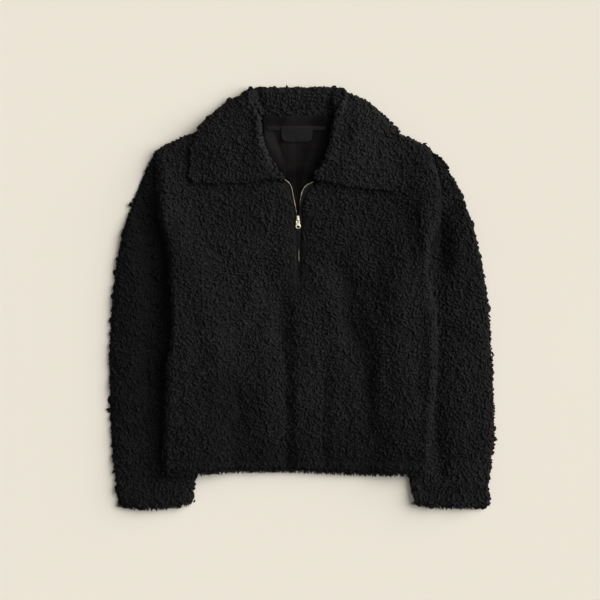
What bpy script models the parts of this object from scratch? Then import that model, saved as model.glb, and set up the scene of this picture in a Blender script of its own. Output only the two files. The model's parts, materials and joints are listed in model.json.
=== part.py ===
"""Sherpa fleece pullover with a half zip and a spread collar, laid flat on its back.

+Z is up from the floor and +Y runs from the hem to the collar. Left (-X) and right (+X) are as seen
from above. The sleeves are folded down beside the body and tucked under its side edges, and the
collar's fall is folded over the shoulders: on top of the front at the sides, under the back behind
the neck. Every layer lies on the layer below it, so each height is that layer's top and a gap.
Sizes are in millimetres, and each mesh is turned to metres as it is made.
"""

import math

import bpy
import numpy as np
from mathutils import Vector
from mathutils.bvhtree import BVHTree

MM = 0.001

# Layers
GAP = 0.3
FLEECE = 6.0            # one layer of fleece with its pile
COLLAR = 6.5            # the collar's doubled fleece
LINING = 1.5
TAPE = 1.0
LABEL = 1.0
EDGE_SHARE = 0.45       # how much of its thickness a panel keeps at its very edge
EDGE_RUN = 11.0         # how far in from the edge it is rounded

# What lies under the back and lifts it
SLEEVE_FLAT = 12.8      # a sleeve pressed flat under the body
SLEEVE_LIFT = 13.2
FALL_LIFT = 8.2         # over the collar's fall, behind the neck
LIFT_KEPT = 13.0        # how far past the lower layer the lift stays whole
LIFT_RUN = 50.0         # and how far it then takes to die away
SLEEVE_PUFF = 5.5       # how much higher it stands once clear of the body
PUFF_STARTS = 8.0
PUFF_RUN = 36.0
SLEEVE_HOLLOW = 0.8     # between its two layers where it is pressed flat
HOLLOW_OF_PUFF = 0.4    # and the share of the puff that is hollow
HOLLOW_RUN = 12.0

# The body's outline and the lines that cross it: x, y
HEM_Y = -297.0
CHEST_Y = 186.0         # the side's height level with the foot of the neck opening
SLIT_END_Y = 35.0
SIDE_LEFT = [(-233, -297), (-234, -264), (-233, -230), (-227, -193), (-225, -163), (-223, -104),
             (-218, -49), (-221, -3), (-222, 42), (-224, 76), (-231, 109), (-238, 139),
             (-241, 176), (-244, 207), (-246, 247)]
SIDE_RIGHT = [(211, -297), (214, -272), (218, -239), (221, -193), (226, -150), (229, -87),
              (228, -34), (223, -3), (218, 18), (212, 39), (213, 60), (215, 89), (223, 109),
              (231, 136), (233, 186), (227, 215), (215, 247)]
HEM = [(-233, -297), (-204, -298), (-171, -296), (-103, -292), (-53, -292), (-3, -292),
       (48, -295), (98, -297), (140, -298), (182, -297), (211, -297)]
SHOULDER_LEFT = [(-246, 247), (-224, 260), (-200, 271), (-176, 279), (-137, 295), (-87, 317)]
SHOULDER_RIGHT = [(215, 249), (204, 259), (188, 267), (163, 277), (125, 296), (73, 317)]
SLIT_LEFT = [(-8.5, 35), (-9, 97), (-12, 114), (-12.5, 135), (-15, 152), (-20, 170), (-28, 187), (-39, 196)]
SLIT_RIGHT = [(-1.5, 35), (-1, 97), (1, 114), (1.5, 135), (3.5, 152), (7, 170), (16, 186), (29, 194)]
NECK_LEFT = [(-39, 196), (-51, 215), (-63, 235), (-75, 255), (-79, 279), (-83, 302), (-87, 317)]
NECK_RIGHT = [(29, 194), (43, 213), (55, 235), (61, 255), (64, 277), (68, 301), (73, 317)]
BACK_NECK = [(-45, 292), (-6, 281), (31, 291)]

# Rows of the body's lattice: its distances from the hem, and the shares of the two zones above
HEM_ROWS = [0, 4, 11, 24]
LOWER_ROWS = 12         # from there to the foot of the slit
SLIT_ROWS = 7
NECK_SHARES = [0.2, 0.42, 0.64, 0.82, 0.92, 0.97, 1.0]
COLUMN_SHARES = [0, 0.018, 0.05, 0.105, 0.2, 0.31, 0.42, 0.53, 0.64, 0.75, 0.85, 0.93, 0.98, 1.0]

# Soft folds of the front: ends, half width, and height (a trough is below nought)
FRONT_PUFF = 5.0
FOLDS_UNDER = 0.4       # the share of the relief that the front's underside follows
FOLDS_AT_SLIT = 0.2     # and the share that is left beside the zip
FOLDS = [
    # x0, y0, x1, y1, half width, height
    (-36, 5, -22, -60, 20, -4.5),
    (-24, -60, -21, -290, 11, -5.0),
    (40, -90, 38, -292, 11, -4.0),
    (112, 20, 124, -160, 22, -4.5),
    (62, 44, 126, 8, 16, -2.5),
    (-215, -66, -80, -66, 9, -1.0),
    (-104, -175, -106, -205, 14, -2.0),
    (8, -60, 10, -290, 22, 3.0),
    (78, -80, 76, -270, 26, 3.0),
    (-70, -40, -66, -280, 32, 2.5),
    (162, 40, 172, -200, 26, 3.5),
    (60, 120, 100, 60, 34, 2.0),
]

# Sleeves: the outer edge, the edge under the body and the cuff, from the shoulder down
SLEEVE_STATIONS = 18
CROSS_SHARES = [0, 0.03, 0.09, 0.19, 0.29, 0.42, 0.6, 0.8, 0.91, 0.97, 1.0]
HOLLOW_INSET = 0.055    # of the sleeve's width, at each side
LEFT_SLEEVE = {
    "outer": [(-249, 247), (-265, 215), (-282, 175), (-297, 131), (-309, 84), (-318, 22), (-322, -37),
              (-324, -104), (-324, -171), (-321, -239), (-317, -297), (-315, -334), (-309, -349)],
    "under": [(-214, 62), (-189, 24), (-165, -20), (-157, -87), (-160, -171), (-165, -239),
              (-173, -296), (-182, -322), (-187, -344)],
    "cuff": [(-309, -349), (-284, -353.5), (-257, -355.5), (-229, -354), (-207, -350), (-187, -344)],
    "armhole_end": [(-236, 106), (-228, 82), (-214, 62)],
}
RIGHT_SLEEVE = {
    "outer": [(218, 249), (233, 243), (245, 226), (257, 202), (271, 174), (281, 147), (288, 121),
              (295, 94), (303, 60), (309, 22), (315, -20), (318, -70), (322, -130), (325, -205),
              (324, -255), (320, -297), (317, -331), (312, -350)],
    "under": [(203, 44), (178, 22), (159, -20), (154, -87), (159, -171), (166, -239), (177, -296),
              (182, -322), (187, -344)],
    "cuff": [(312, -350), (291, -352.5), (266, -352.5), (233, -352), (207, -350), (187, -344)],
    "armhole_end": [(227, 110), (214, 76), (203, 44)],
}
ARMHOLE_GAP = 1.3
ARMHOLE_LOWEST = 125.0  # below this height the sleeve's end slips under the body
TIP_Y = 247.0
TIP_LIFT_SHARE = 0.3    # of the sleeve's lift, at the shoulder's tip

# The collar, from one front end round the back of the neck to the other. Each section runs from the
# neck seam over the roll to the outer edge. "half" is how far the roll's two sides are from its
# middle height: above nought the fall is on top, below nought it is underneath.
COLLAR_SECTIONS = [
    # seam x, y, z, roll x, y, z, half, edge x, y, z, bulge
    (-38.5, 199, 12.6, -31, 200, 17.1, 4.5, -191, 192, 21.0, -5),
    (-44.5, 207, 14.2, -36, 209, 18.7, 4.5, -190, 209, 21.0, 0),
    (-53.0, 221, 17.2, -45, 224, 21.7, 4.5, -189, 226, 21.0, 0),
    (-63.0, 238, 20.0, -53, 240, 24.6, 4.5, -187, 243, 24.0, 0),
    (-72.0, 255, 20.8, -63, 257, 25.4, 4.5, -183, 258, 26.0, 0),
    (-77.0, 279, 20.9, -64, 281, 25.5, 4.5, -178, 272, 26.0, 0),
    (-81.0, 300, 20.8, -73, 303, 25.0, 4.2, -175, 280, 26.0, 3),
    (-84.0, 314, 19.7, -83, 326, 22.0, 3.0, -176, 284, 23.6, 7),
    (-82.0, 323, 17.0, -95, 346, 14.5, 0.0, -173, 289, 13.5, 8),
    (-75.0, 315, 15.0, -88, 351, 13.5, -4.5, -160, 290, 5.0, 6),
    (-65.0, 305, 13.5, -66, 352, 13.2, -8.0, -144, 272, 3.7, 4),
    (-40.0, 294, 12.0, -38, 352, 12.9, -9.0, -80, 262, 3.7, 0),
    (-6.0, 284, 11.6, -6, 352, 12.9, -9.0, -6, 262, 3.7, 0),
    (27.0, 293, 12.0, 28, 352, 12.9, -9.0, 66, 262, 3.7, 0),
    (52.0, 305, 13.5, 52, 352, 13.2, -8.0, 128, 264, 3.7, -4),
    (62.0, 315, 15.0, 70, 351, 13.5, -4.5, 149, 285, 5.0, -9),
    (68.0, 323, 17.0, 77, 346, 14.5, 0.0, 162, 283, 13.5, -12),
    (70.0, 314, 19.5, 66, 327, 21.5, 3.0, 164, 278, 22.5, -9),
    (66.0, 300, 20.8, 57, 303, 25.0, 4.2, 166, 270, 26.0, -3),
    (62.0, 277, 20.9, 51, 276, 25.5, 4.5, 169, 258, 26.0, 0),
    (58.0, 255, 20.8, 49, 254, 25.4, 4.5, 172, 242, 26.0, 0),
    (53.0, 236, 20.0, 43, 237, 24.6, 4.5, 173, 228, 24.0, 0),
    (44.0, 219, 17.2, 34, 220, 21.7, 4.5, 173, 212, 21.0, 0),
    (35.0, 205, 14.2, 25, 206, 18.7, 4.5, 173, 196, 21.0, 0),
    (29.0, 197, 12.6, 21, 197, 17.1, 4.5, 172, 178, 21.0, 4),
]
COLLAR_STATIONS = 34
COLLAR_SEAM_STEPS = 2   # across a section: seam to roll, round the roll, and roll to edge
COLLAR_ROLL_STEPS = 4
COLLAR_FALL_STEPS = 6
ROLL_SIDE = 6.0         # from the roll's edge to where its two sides run flat
FALL_MIDDLE = 0.45      # where along the fall its bulge is greatest
FALL_DROP = 0.85        # and how much of its way down it has come by there
REST_GAP = 1.3          # between the fall and the front that it lies on
REST_REACH = 6.0        # how far round a point the layer below is felt

# The lining where the neck shows it: y, left x, right x
LINING_ROWS = [(306, -66, 46), (296, -66, 47), (284, -62, 47), (268, -68, 52), (252, -70, 54),
               (236, -58, 48), (218, -48, 38), (200, -36, 24), (186, -34, 20), (168, -26, 13),
               (150, -22, 10), (128, -19, 8), (108, -17, 6)]
LINING_COLUMNS = 8
COLLAR_SHOWS_Y = 276.0  # beyond this the lining lies on the collar's seam too
SEAM_HIGHEST = 22.0     # and what is higher than this is the roll beside it
NECK_TAPE = {"low": 281.0, "high": 288.0, "left": -58.0, "right": 42.0}
LABEL_SIZE = {"middle": -8.0, "width": 54.0, "top": 289.0, "bottom": 262.0, "corner": 9.0}

# The zip: the two rows of teeth, from its foot to the collar
ZIP_MIDDLE = -6.0
TAPE_UNDER = 6.5        # how far the tape reaches under the front's edge
TAPE_REST = 3.7         # the tape's height above the back
TEETH_LEFT = [(-6.15, 33), (-6.15, 80), (-6.15, 122), (-8.0, 136), (-9.5, 146), (-12.5, 160),
              (-15, 173), (-19, 184), (-25, 191)]
TEETH_RIGHT = [(-5.85, 33), (-5.85, 80), (-5.85, 122), (-4.0, 136), (-2.6, 146), (-1.5, 160),
               (0.2, 173), (3, 182), (10, 189)]
ZIP_STATIONS = 17
PLACKET_LIFT = 4.7
PLACKET_KEPT = 10.0
PLACKET_RUN = 30.0

# Slider and pull tab
SLIDER_TOP_Y = 139.0
SLIDER_LENGTH = 12.0
SLIDER_WIDTH = 8.0
PLATE_LOW = (8.4, 9.4)
PLATE_HIGH = (11.0, 12.4)
POST_WIDTH = 2.2
POST_LENGTH = 2.0
ARCH_WIDTH = 2.2
ARCH_HALF = 2.3
WINDOW_HALF = 1.15
ARCH_TOP = 1.0
PULL_AXIS_Y = 132.5
PULL_THICK = 1.2
PULL_LENGTH = 16.5
PULL_HEAD_HALF = 2.8
PULL_WAIST_HALF = 2.3
PULL_RING_RADIUS = 4.8
PULL_HOLE_RADIUS = 1.7
PULL_WINDOW_HALF = 1.6
PULL_WINDOW_LENGTH = 3.0
PULL_BAR = 1.2


# Curves and small sums

def smooth_step(share):
    share = np.clip(share, 0.0, 1.0)
    return share * share * (3.0 - 2.0 * share)


def fade(distance, kept, run):
    """One up to the distance kept, then dying away over the run."""
    return 1.0 - smooth_step((np.asarray(distance) - kept) / run)


def smooth_curve(points):
    """Many points on a Catmull-Rom curve through the given ones, and the lengths along it."""
    p = np.array(points, float)
    p = np.vstack([2 * p[0] - p[1], p, 2 * p[-1] - p[-2]])
    t = np.linspace(0.0, 1.0, 13)[:, None]
    stretches = []
    for a, b, c, d in zip(p, p[1:], p[2:], p[3:]):
        stretches.append(b + 0.5 * ((c - a) * t + (2 * a - 5 * b + 4 * c - d) * t ** 2
                                    + (3 * b - a - 3 * c + d) * t ** 3))
    dense = np.vstack(stretches)
    steps = np.linalg.norm(np.diff(dense, axis=0), axis=1)
    return dense, np.concatenate([[0.0], np.cumsum(steps)])


def along(points, shares):
    """The points at these shares of the length of a smooth curve."""
    dense, length = smooth_curve(points)
    at = np.asarray(shares, float) * length[-1]
    return np.stack([np.interp(at, length, dense[:, k]) for k in range(dense.shape[1])], axis=-1)


def across(points, values, by=1, get=0):
    """The curve's x at a height, or its y at a distance across with by=0 and get=1."""
    dense, _ = smooth_curve(points)
    order = np.argsort(dense[:, by], kind="stable")
    return np.interp(values, dense[order, by], dense[order, get])


def distance_to(points, line, closed=False):
    """Each point's distance to a line of straight stretches."""
    line = np.asarray(line, float)
    ends = np.roll(line, -1, axis=0) if closed else line[1:]
    starts = line if closed else line[:-1]
    best = np.full(len(points), np.inf)
    for a, b in zip(starts, ends):
        run = b - a
        share = np.clip((points - a) @ run / max(run @ run, 1e-9), 0.0, 1.0)
        best = np.minimum(best, np.linalg.norm(points - (a + share[:, None] * run), axis=1))
    return best


def inside(points, polygon):
    x, y = points[:, 0], points[:, 1]
    found = np.zeros(len(points), bool)
    for (ax, ay), (bx, by) in zip(polygon, np.roll(polygon, -1, axis=0)):
        crosses = (ay > y) != (by > y)
        rise = np.where(np.isclose(by, ay), 1e-9, by - ay)
        found ^= crosses & (x < (bx - ax) * (y - ay) / rise + ax)
    return found


def outside_distance(points, polygon):
    """The distance to a closed outline, nought for the points inside it."""
    return np.where(inside(points, polygon), 0.0, distance_to(points, polygon, closed=True))


# Meshes

def material(name, color, roughness, metallic=0.0):
    made = bpy.data.materials.new(name)
    made.use_nodes = True
    shader = made.node_tree.nodes["Principled BSDF"]
    shader.inputs["Base Color"].default_value = (*color, 1.0)
    shader.inputs["Roughness"].default_value = roughness
    shader.inputs["Metallic"].default_value = metallic
    return made


def make_object(name, points, faces, finish, smooth=True):
    mesh = bpy.data.meshes.new(name)
    mesh.from_pydata([tuple(MM * float(c) for c in p) for p in points], [], faces)
    mesh.validate()
    if smooth:
        mesh.shade_smooth()
        mesh.set_sharp_from_angle(angle=math.radians(40))
    mesh.materials.append(finish)
    made = bpy.data.objects.new(name, mesh)
    bpy.context.scene.collection.objects.link(made)
    return made


def split(quad):
    a, b, c, d = quad
    return [(a, b, c), (a, c, d)]


def slab(name, lattice, cells, top, under, finish):
    """A closed solid between two heights over some cells of a lattice of points."""
    used = sorted({corner for cell in cells for corner in cell})
    number = {corner: i for i, corner in enumerate(used)}
    count = len(used)
    points = [(*lattice[corner], top[corner]) for corner in used]
    points += [(*lattice[corner], under[corner]) for corner in used]
    faces, edges = [], {}
    for cell in cells:
        quad = [number[corner] for corner in cell]
        faces += split(quad)
        faces += [tuple(count + i for i in reversed(face)) for face in split(quad)]
        for a, b in zip(quad, quad[1:] + quad[:1]):
            edges[(a, b)] = True
    for a, b in edges:
        if (b, a) not in edges:
            faces += split([b, a, count + a, count + b])
    return make_object(name, points, faces, finish)


def grid_cells(rows, columns):
    """The lattice's cells, each turned anticlockwise as seen from above."""
    return [((r, c), (r, c + 1), (r + 1, c + 1), (r + 1, c))
            for r in range(rows - 1) for c in range(columns - 1)]


def outline_of(lattice, cells):
    """The straight stretches round the outside of some cells."""
    edges = {}
    for cell in cells:
        for a, b in zip(cell, cell[1:] + cell[:1]):
            edges[(a, b)] = True
    return [(lattice[a], lattice[b]) for a, b in edges if (b, a) not in edges]


def edge_thickness(lattice, cells):
    """The share of its thickness that a panel has at each lattice point, rounded off at its edges."""
    shape = lattice.shape[:2]
    points = lattice.reshape(-1, 2)
    distance = np.full(len(points), np.inf)
    for a, b in outline_of(lattice, cells):
        distance = np.minimum(distance, distance_to(points, [a, b]))
    share = np.clip(distance / EDGE_RUN, 0.0, 1.0)
    round_off = np.sqrt(1.0 - (1.0 - share) ** 2)
    return (EDGE_SHARE + (1.0 - EDGE_SHARE) * round_off).reshape(shape)


def wall(name, middle, thickness, finish):
    """A closed wall round a grid of points, half its thickness to each side."""
    down = np.gradient(middle, axis=0)
    over = np.gradient(middle, axis=1)
    normal = np.cross(down, over)
    normal /= np.linalg.norm(normal, axis=2, keepdims=True)
    rows, columns = middle.shape[:2]
    half = np.full((rows, columns), thickness / 2.0)
    half[:, -1] *= EDGE_SHARE
    front = middle + normal * half[:, :, None]
    rear = middle - normal * half[:, :, None]
    points = np.concatenate([front.reshape(-1, 3), rear.reshape(-1, 3)])
    points[:, 2] = np.maximum(points[:, 2], 0.0)
    count = rows * columns
    faces = []
    for r in range(rows - 1):
        for c in range(columns - 1):
            here, there = r * columns + c, (r + 1) * columns + c
            quad = [here, there, there + 1, here + 1]
            faces += split(quad)
            faces += [tuple(count + i for i in reversed(face)) for face in split(quad)]
    rim = [c for c in range(columns)]
    rim += [r * columns + columns - 1 for r in range(1, rows)]
    rim += [(rows - 1) * columns + c for c in range(columns - 2, -1, -1)]
    rim += [r * columns for r in range(rows - 2, 0, -1)]
    for a, b in zip(rim, rim[1:] + rim[:1]):
        faces += split([a, b, count + b, count + a])
    return make_object(name, points, faces, finish)


def prism(name, outline, low, high, finish, smooth=False):
    """An outline in the floor's plane, anticlockwise, drawn up from one height to another."""
    count = len(outline)
    points = [(x, y, low) for x, y in outline] + [(x, y, high) for x, y in outline]
    faces = [tuple(reversed(range(count))), tuple(range(count, 2 * count))]
    for i in range(count):
        j = (i + 1) % count
        faces.append((i, j, count + j, count + i))
    return make_object(name, points, faces, finish, smooth)


def box(name, low, high, finish):
    (x0, y0, z0), (x1, y1, z1) = low, high
    return prism(name, [(x0, y0), (x1, y0), (x1, y1), (x0, y1)], z0, z1, finish)


def combine(target, other, operation):
    """Adds or cuts another object's shape, which stays behind as a guide."""
    change = target.modifiers.new(other.name, "BOOLEAN")
    change.object = other
    change.operation = operation
    change.solver = "EXACT"
    other.hide_render = True
    other.display_type = "WIRE"


# The body's lattice

def body_lattice():
    """Points over the whole body, row by row from the hem, with the place of each zone.

    The front's inner edge, which is the slit's edge and then the neck's, is a column of its own on
    each side. The back has three columns more between those two.
    """
    slit_height = SLIT_END_Y - HEM_Y
    lower = list(np.array(HEM_ROWS[:-1]) / slit_height)
    lower += list(np.linspace(HEM_ROWS[-1] / slit_height, 1.0, LOWER_ROWS))
    middle = list(np.linspace(0.0, 1.0, SLIT_ROWS + 1)[1:])
    hem_y = across(HEM, ZIP_MIDDLE, by=0, get=1)
    halves = []
    for side, slit, neck, shoulder in ((SIDE_LEFT, SLIT_LEFT, NECK_LEFT, SHOULDER_LEFT),
                                       (SIDE_RIGHT, SLIT_RIGHT, NECK_RIGHT, SHOULDER_RIGHT)):
        side_y = [HEM_Y + (SLIT_END_Y - HEM_Y) * f for f in lower]
        side_y += [SLIT_END_Y + (CHEST_Y - SLIT_END_Y) * f for f in middle]
        side_y += [CHEST_Y + (TIP_Y - CHEST_Y) * f for f in NECK_SHARES]
        edge = np.stack([across(side, side_y), side_y], axis=1)
        inner = [(slit[0][0], hem_y + (SLIT_END_Y - hem_y) * f) for f in lower]
        inner += [tuple(p) for p in along(slit, middle)]
        inner += [tuple(p) for p in along(neck, NECK_SHARES)]
        inner = np.array(inner)
        share = np.array(COLUMN_SHARES)[None, :, None]
        half = edge[:, None, :] * (1 - share) + inner[:, None, :] * share
        straight_hem = half[0, :, 1].copy()
        for r, f in enumerate(lower):
            half[r, :, 1] += (across(HEM, half[r, :, 0], by=0, get=1) - straight_hem) * (1 - f)
        top_row = half[-1, :, 1].copy()
        bend = across(shoulder, half[-1, :, 0], by=0, get=1) - top_row
        for r, f in zip(range(len(lower) + len(middle), len(half)), NECK_SHARES):
            half[r, :, 1] += bend * f
        halves.append(half)
    left, right = halves
    right = right[:, ::-1]
    inner_columns = len(BACK_NECK)
    over = ((np.arange(inner_columns) + 1) / (inner_columns + 1))[None, :, None]
    between = left[:, -1, None, :] * (1 - over) + right[:, 0, None, :] * over
    chest_row = len(lower) + len(middle) - 1
    for r, f in zip(range(chest_row + 1, len(between)), NECK_SHARES):
        between[r] = between[chest_row] * (1 - f) + np.array(BACK_NECK, float) * f
    lattice = np.concatenate([left, between, right], axis=1)
    slit_row = len(lower) - 1
    left_edge = left.shape[1] - 1
    return lattice, slit_row, left_edge, left_edge + inner_columns + 1


def sleeve_plan(sleeve, side):
    """The sleeve's places on the floor: a station for each step from the armhole to the cuff."""
    low, tip = ARMHOLE_LOWEST, TIP_Y
    heights = np.linspace(tip, low, 5)[1:]
    way = 1.0 if sleeve["outer"][0][0] > 0 else -1.0
    armhole = [sleeve["outer"][0]]
    armhole += [(across(side, y) + way * ARMHOLE_GAP, y) for y in heights]
    armhole += sleeve["armhole_end"]
    s = np.linspace(0.0, 1.0, SLEEVE_STATIONS)
    t = np.array(CROSS_SHARES)
    outer = along(sleeve["outer"], s)
    under = along(sleeve["under"], s)
    head = along(armhole, t)
    cuff = along(sleeve["cuff"], t)
    s, t = s[:, None, None], t[None, :, None]
    plan = (1 - t) * outer[:, None] + t * under[:, None] + (1 - s) * head[None] + s * cuff[None]
    plan -= (1 - s) * ((1 - t) * outer[0] + t * under[0])
    plan -= s * ((1 - t) * outer[-1] + t * under[-1])
    return plan


def border(plan):
    """A grid's outline as one closed polygon."""
    return np.concatenate([plan[:, 0], plan[-1, 1:], plan[-2::-1, -1], plan[0, -2:0:-1]])


def fall_outline():
    """The part of the collar that lies on the floor, behind the neck."""
    under = [row for row in COLLAR_SECTIONS if row[6] <= 0.0]
    rolls = [(row[3], row[4]) for row in under]
    edges = [(row[7], row[8]) for row in under]
    return np.array(rolls + edges[::-1], float)


def lift_of_back(points, sleeves):
    """How far what lies under the back lifts it."""
    lift = FALL_LIFT * fade(outside_distance(points, fall_outline()), LIFT_KEPT, LIFT_RUN)
    to_tip = smooth_step((points[:, 1] - ARMHOLE_LOWEST) / (TIP_Y - ARMHOLE_LOWEST))
    share = 1.0 - (1.0 - TIP_LIFT_SHARE) * to_tip
    for plan in sleeves:
        near = fade(outside_distance(points, border(plan)), LIFT_KEPT, LIFT_RUN)
        lift = np.maximum(lift, SLEEVE_LIFT * near * share)
    return lift


def fold_heights(points):
    """The front's soft relief, never below nought."""
    height = np.full(len(points), FRONT_PUFF)
    for x0, y0, x1, y1, half_width, rise in FOLDS:
        near = distance_to(points, [(x0, y0), (x1, y1)])
        height += rise * np.exp(-(near / half_width) ** 2)
    return np.maximum(height, 0.0)


def placket_lift(points):
    """How far the zip's tape and the lining lift the front's edges."""
    near = np.minimum(distance_to(points, SLIT_LEFT), distance_to(points, SLIT_RIGHT))
    return PLACKET_LIFT * fade(near, PLACKET_KEPT, PLACKET_RUN)


# Pieces

def build_body(fleece, sleeves):
    lattice, slit_row, left_edge, right_edge = body_lattice()
    shape = lattice.shape[:2]
    flat = lattice.reshape(-1, 2)
    all_cells = grid_cells(*shape)
    lift = lift_of_back(flat, sleeves).reshape(shape)
    back_top = lift + FLEECE
    back_under = back_top - FLEECE * edge_thickness(lattice, all_cells)
    back = slab("back", lattice, all_cells, back_top, back_under, fleece)

    def is_open(cell):
        (row, column), (_, right), _, _ = cell
        return row >= slit_row and column >= left_edge and right <= right_edge

    front_cells = [cell for cell in all_cells if not is_open(cell)]
    softness = edge_thickness(lattice, front_cells)
    inward = np.clip((softness - EDGE_SHARE) / (1.0 - EDGE_SHARE), 0.0, 1.0)
    folds = fold_heights(flat).reshape(shape) * inward
    near_slit = np.minimum(distance_to(flat, SLIT_LEFT), distance_to(flat, SLIT_RIGHT)).reshape(shape)
    off_slit = smooth_step((near_slit - PLACKET_KEPT) / PLACKET_RUN)
    folds *= FOLDS_AT_SLIT + (1.0 - FOLDS_AT_SLIT) * off_slit
    front_under = back_top + GAP + placket_lift(flat).reshape(shape) + FOLDS_UNDER * folds
    front_top = front_under + FLEECE * softness + (1.0 - FOLDS_UNDER) * folds
    front = slab("front", lattice, front_cells, front_top, front_under, fleece)
    return back, front


def build_sleeve(name, plan, body_outline, fleece):
    """A flattened tube: an outer and an inner ring at each station, open at both ends."""
    stations, points_across = plan.shape[:2]
    rings = []
    for s in range(stations):
        line = plan[s]
        width = np.linalg.norm(np.diff(line, axis=0), axis=1).sum()
        share = np.array(CROSS_SHARES)
        to_edge = np.minimum(share, 1.0 - share) * width
        away = outside_distance(line, body_outline)
        puff = SLEEVE_PUFF * smooth_step((away - PUFF_STARTS) / PUFF_RUN)
        height = SLEEVE_FLAT + puff
        rounding = np.sqrt(1.0 - (1.0 - np.clip(to_edge / (0.5 * height + 2.0), 0.0, 1.0)) ** 2)
        top = 0.5 * height * (1.0 + rounding)
        low = 0.5 * height * (1.0 - rounding)
        outer = [(*line[i], top[i]) for i in range(points_across)]
        outer += [(*line[i], low[i]) for i in range(points_across - 2, 0, -1)]
        inner_share = HOLLOW_INSET + (1.0 - 2.0 * HOLLOW_INSET) * share
        inner_line = np.stack([np.interp(inner_share, share, line[:, k]) for k in range(2)], axis=1)
        hollow = (SLEEVE_HOLLOW + HOLLOW_OF_PUFF * puff) * np.clip(to_edge / HOLLOW_RUN, 0.0, 1.0)
        middle = np.interp(inner_share, share, 0.5 * height)
        inner = [(*inner_line[i], middle[i] + 0.5 * hollow[i]) for i in range(points_across)]
        inner += [(*inner_line[i], middle[i] - 0.5 * hollow[i]) for i in range(points_across - 2, 0, -1)]
        rings.append((outer, inner))
    count = len(rings[0][0])
    points = [p for outer, inner in rings for p in outer + inner]
    clockwise = plan[0, 0, 0] > 0
    faces = []

    def quad(a, b, c, d):
        faces.extend(split([d, c, b, a] if clockwise else [a, b, c, d]))

    for s in range(stations - 1):
        here, there = 2 * count * s, 2 * count * (s + 1)
        for i in range(count):
            j = (i + 1) % count
            quad(here + i, there + i, there + j, here + j)
            quad(count + here + j, count + there + j, count + there + i, count + here + i)
    last = 2 * count * (stations - 1)
    for i in range(count):
        j = (i + 1) % count
        quad(i, j, count + j, count + i)
        quad(last + j, last + i, last + count + i, last + count + j)
    return make_object(name, points, faces, fleece)


def collar_middle(front_top_at):
    """The grid of points half way through the collar's wall, one row for each section."""
    table = along(COLLAR_SECTIONS, np.linspace(0.0, 1.0, COLLAR_STATIONS))
    rows = []
    for sx, sy, sz, rx, ry, rz, half, ex, ey, ez, bulge in table:
        seam, roll, edge = np.array([sx, sy, sz]), np.array([rx, ry, rz]), np.array([ex, ey, ez])
        to_seam = (seam - roll)[:2] / max(np.linalg.norm((seam - roll)[:2]), 1e-9)
        to_edge = (edge - roll)[:2] / np.linalg.norm((edge - roll)[:2])
        before = np.array([*(roll[:2] + to_seam * ROLL_SIDE), rz - half])
        after = np.array([*(roll[:2] + to_edge * ROLL_SIDE), rz + half])
        sideways = np.array([-to_edge[1], to_edge[0]]) * -bulge
        fall = after + (edge - after) * FALL_MIDDLE
        fall[:2] += sideways
        fall[2] = after[2] + (edge[2] - after[2]) * FALL_DROP
        lead = seam + (before - seam) * 0.5
        curve = [seam, lead, before, roll, after, fall, edge]
        knots = [0.0, 0.5, 1.0, 2.0, 3.0, 4.2, 5.4]
        steps = list(np.linspace(0.0, 1.0, COLLAR_SEAM_STEPS + 1))
        steps += list(np.linspace(1.0, 3.0, COLLAR_ROLL_STEPS + 1)[1:])
        steps += list(np.linspace(3.0, 5.4, COLLAR_FALL_STEPS + 1)[1:])
        rows.append(knotted_curve(np.array(curve), knots, steps))
    grid = np.array(rows)
    flat = grid.reshape(-1, 3)
    rest = highest_near(front_top_at, flat[:, :2]).reshape(grid.shape[:2]) + REST_GAP + 0.5 * COLLAR
    falls = np.arange(grid.shape[1])[None, :] >= COLLAR_SEAM_STEPS + COLLAR_ROLL_STEPS
    above = grid[:, COLLAR_SEAM_STEPS + COLLAR_ROLL_STEPS, 2] > grid[:, COLLAR_SEAM_STEPS, 2]
    lies = falls & above[:, None] & np.isfinite(rest)
    grid[:, :, 2] = np.where(lies, np.maximum(grid[:, :, 2], rest), grid[:, :, 2])
    return grid


def knotted_curve(points, knots, at):
    """A smooth curve that passes each point at its knot, read at some places."""
    result = []
    for x in at:
        i = min(max(np.searchsorted(knots, x, side="right") - 1, 0), len(points) - 2)
        before = points[i - 1] if i > 0 else 2 * points[0] - points[1]
        after = points[i + 2] if i + 2 < len(points) else 2 * points[-1] - points[-2]
        a, b = points[i], points[i + 1]
        span = knots[i + 1] - knots[i]
        t = (x - knots[i]) / span
        lead = 0.5 * (b - before)
        trail = 0.5 * (after - a)
        result.append((2 * t ** 3 - 3 * t ** 2 + 1) * a + (t ** 3 - 2 * t ** 2 + t) * lead
                      + (3 * t ** 2 - 2 * t ** 3) * b + (t ** 3 - t ** 2) * trail)
    return np.array(result)


def height_reader(*objects):
    """A function that reads the highest surface of some objects at places on the floor."""
    trees = []
    for item in objects:
        points = [v.co.copy() for v in item.data.vertices]
        trees.append(BVHTree.FromPolygons(points, [tuple(p.vertices) for p in item.data.polygons]))

    def read(places):
        found = []
        for x, y in places:
            hits = [tree.ray_cast(Vector((x * MM, y * MM, 1.0)), Vector((0, 0, -1)))[0] for tree in trees]
            heights = [hit.z / MM for hit in hits if hit is not None]
            found.append(max(heights) if heights else np.nan)
        return np.array(found)

    return read


def highest_near(surface_at, places):
    """The highest of a surface at some places and a short way round each of them."""
    highest = surface_at(places)
    for turn in np.arange(8) * math.pi / 4:
        step = REST_REACH * np.array([math.cos(turn), math.sin(turn)])
        highest = np.fmax(highest, surface_at(places + step))
    return highest


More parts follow.
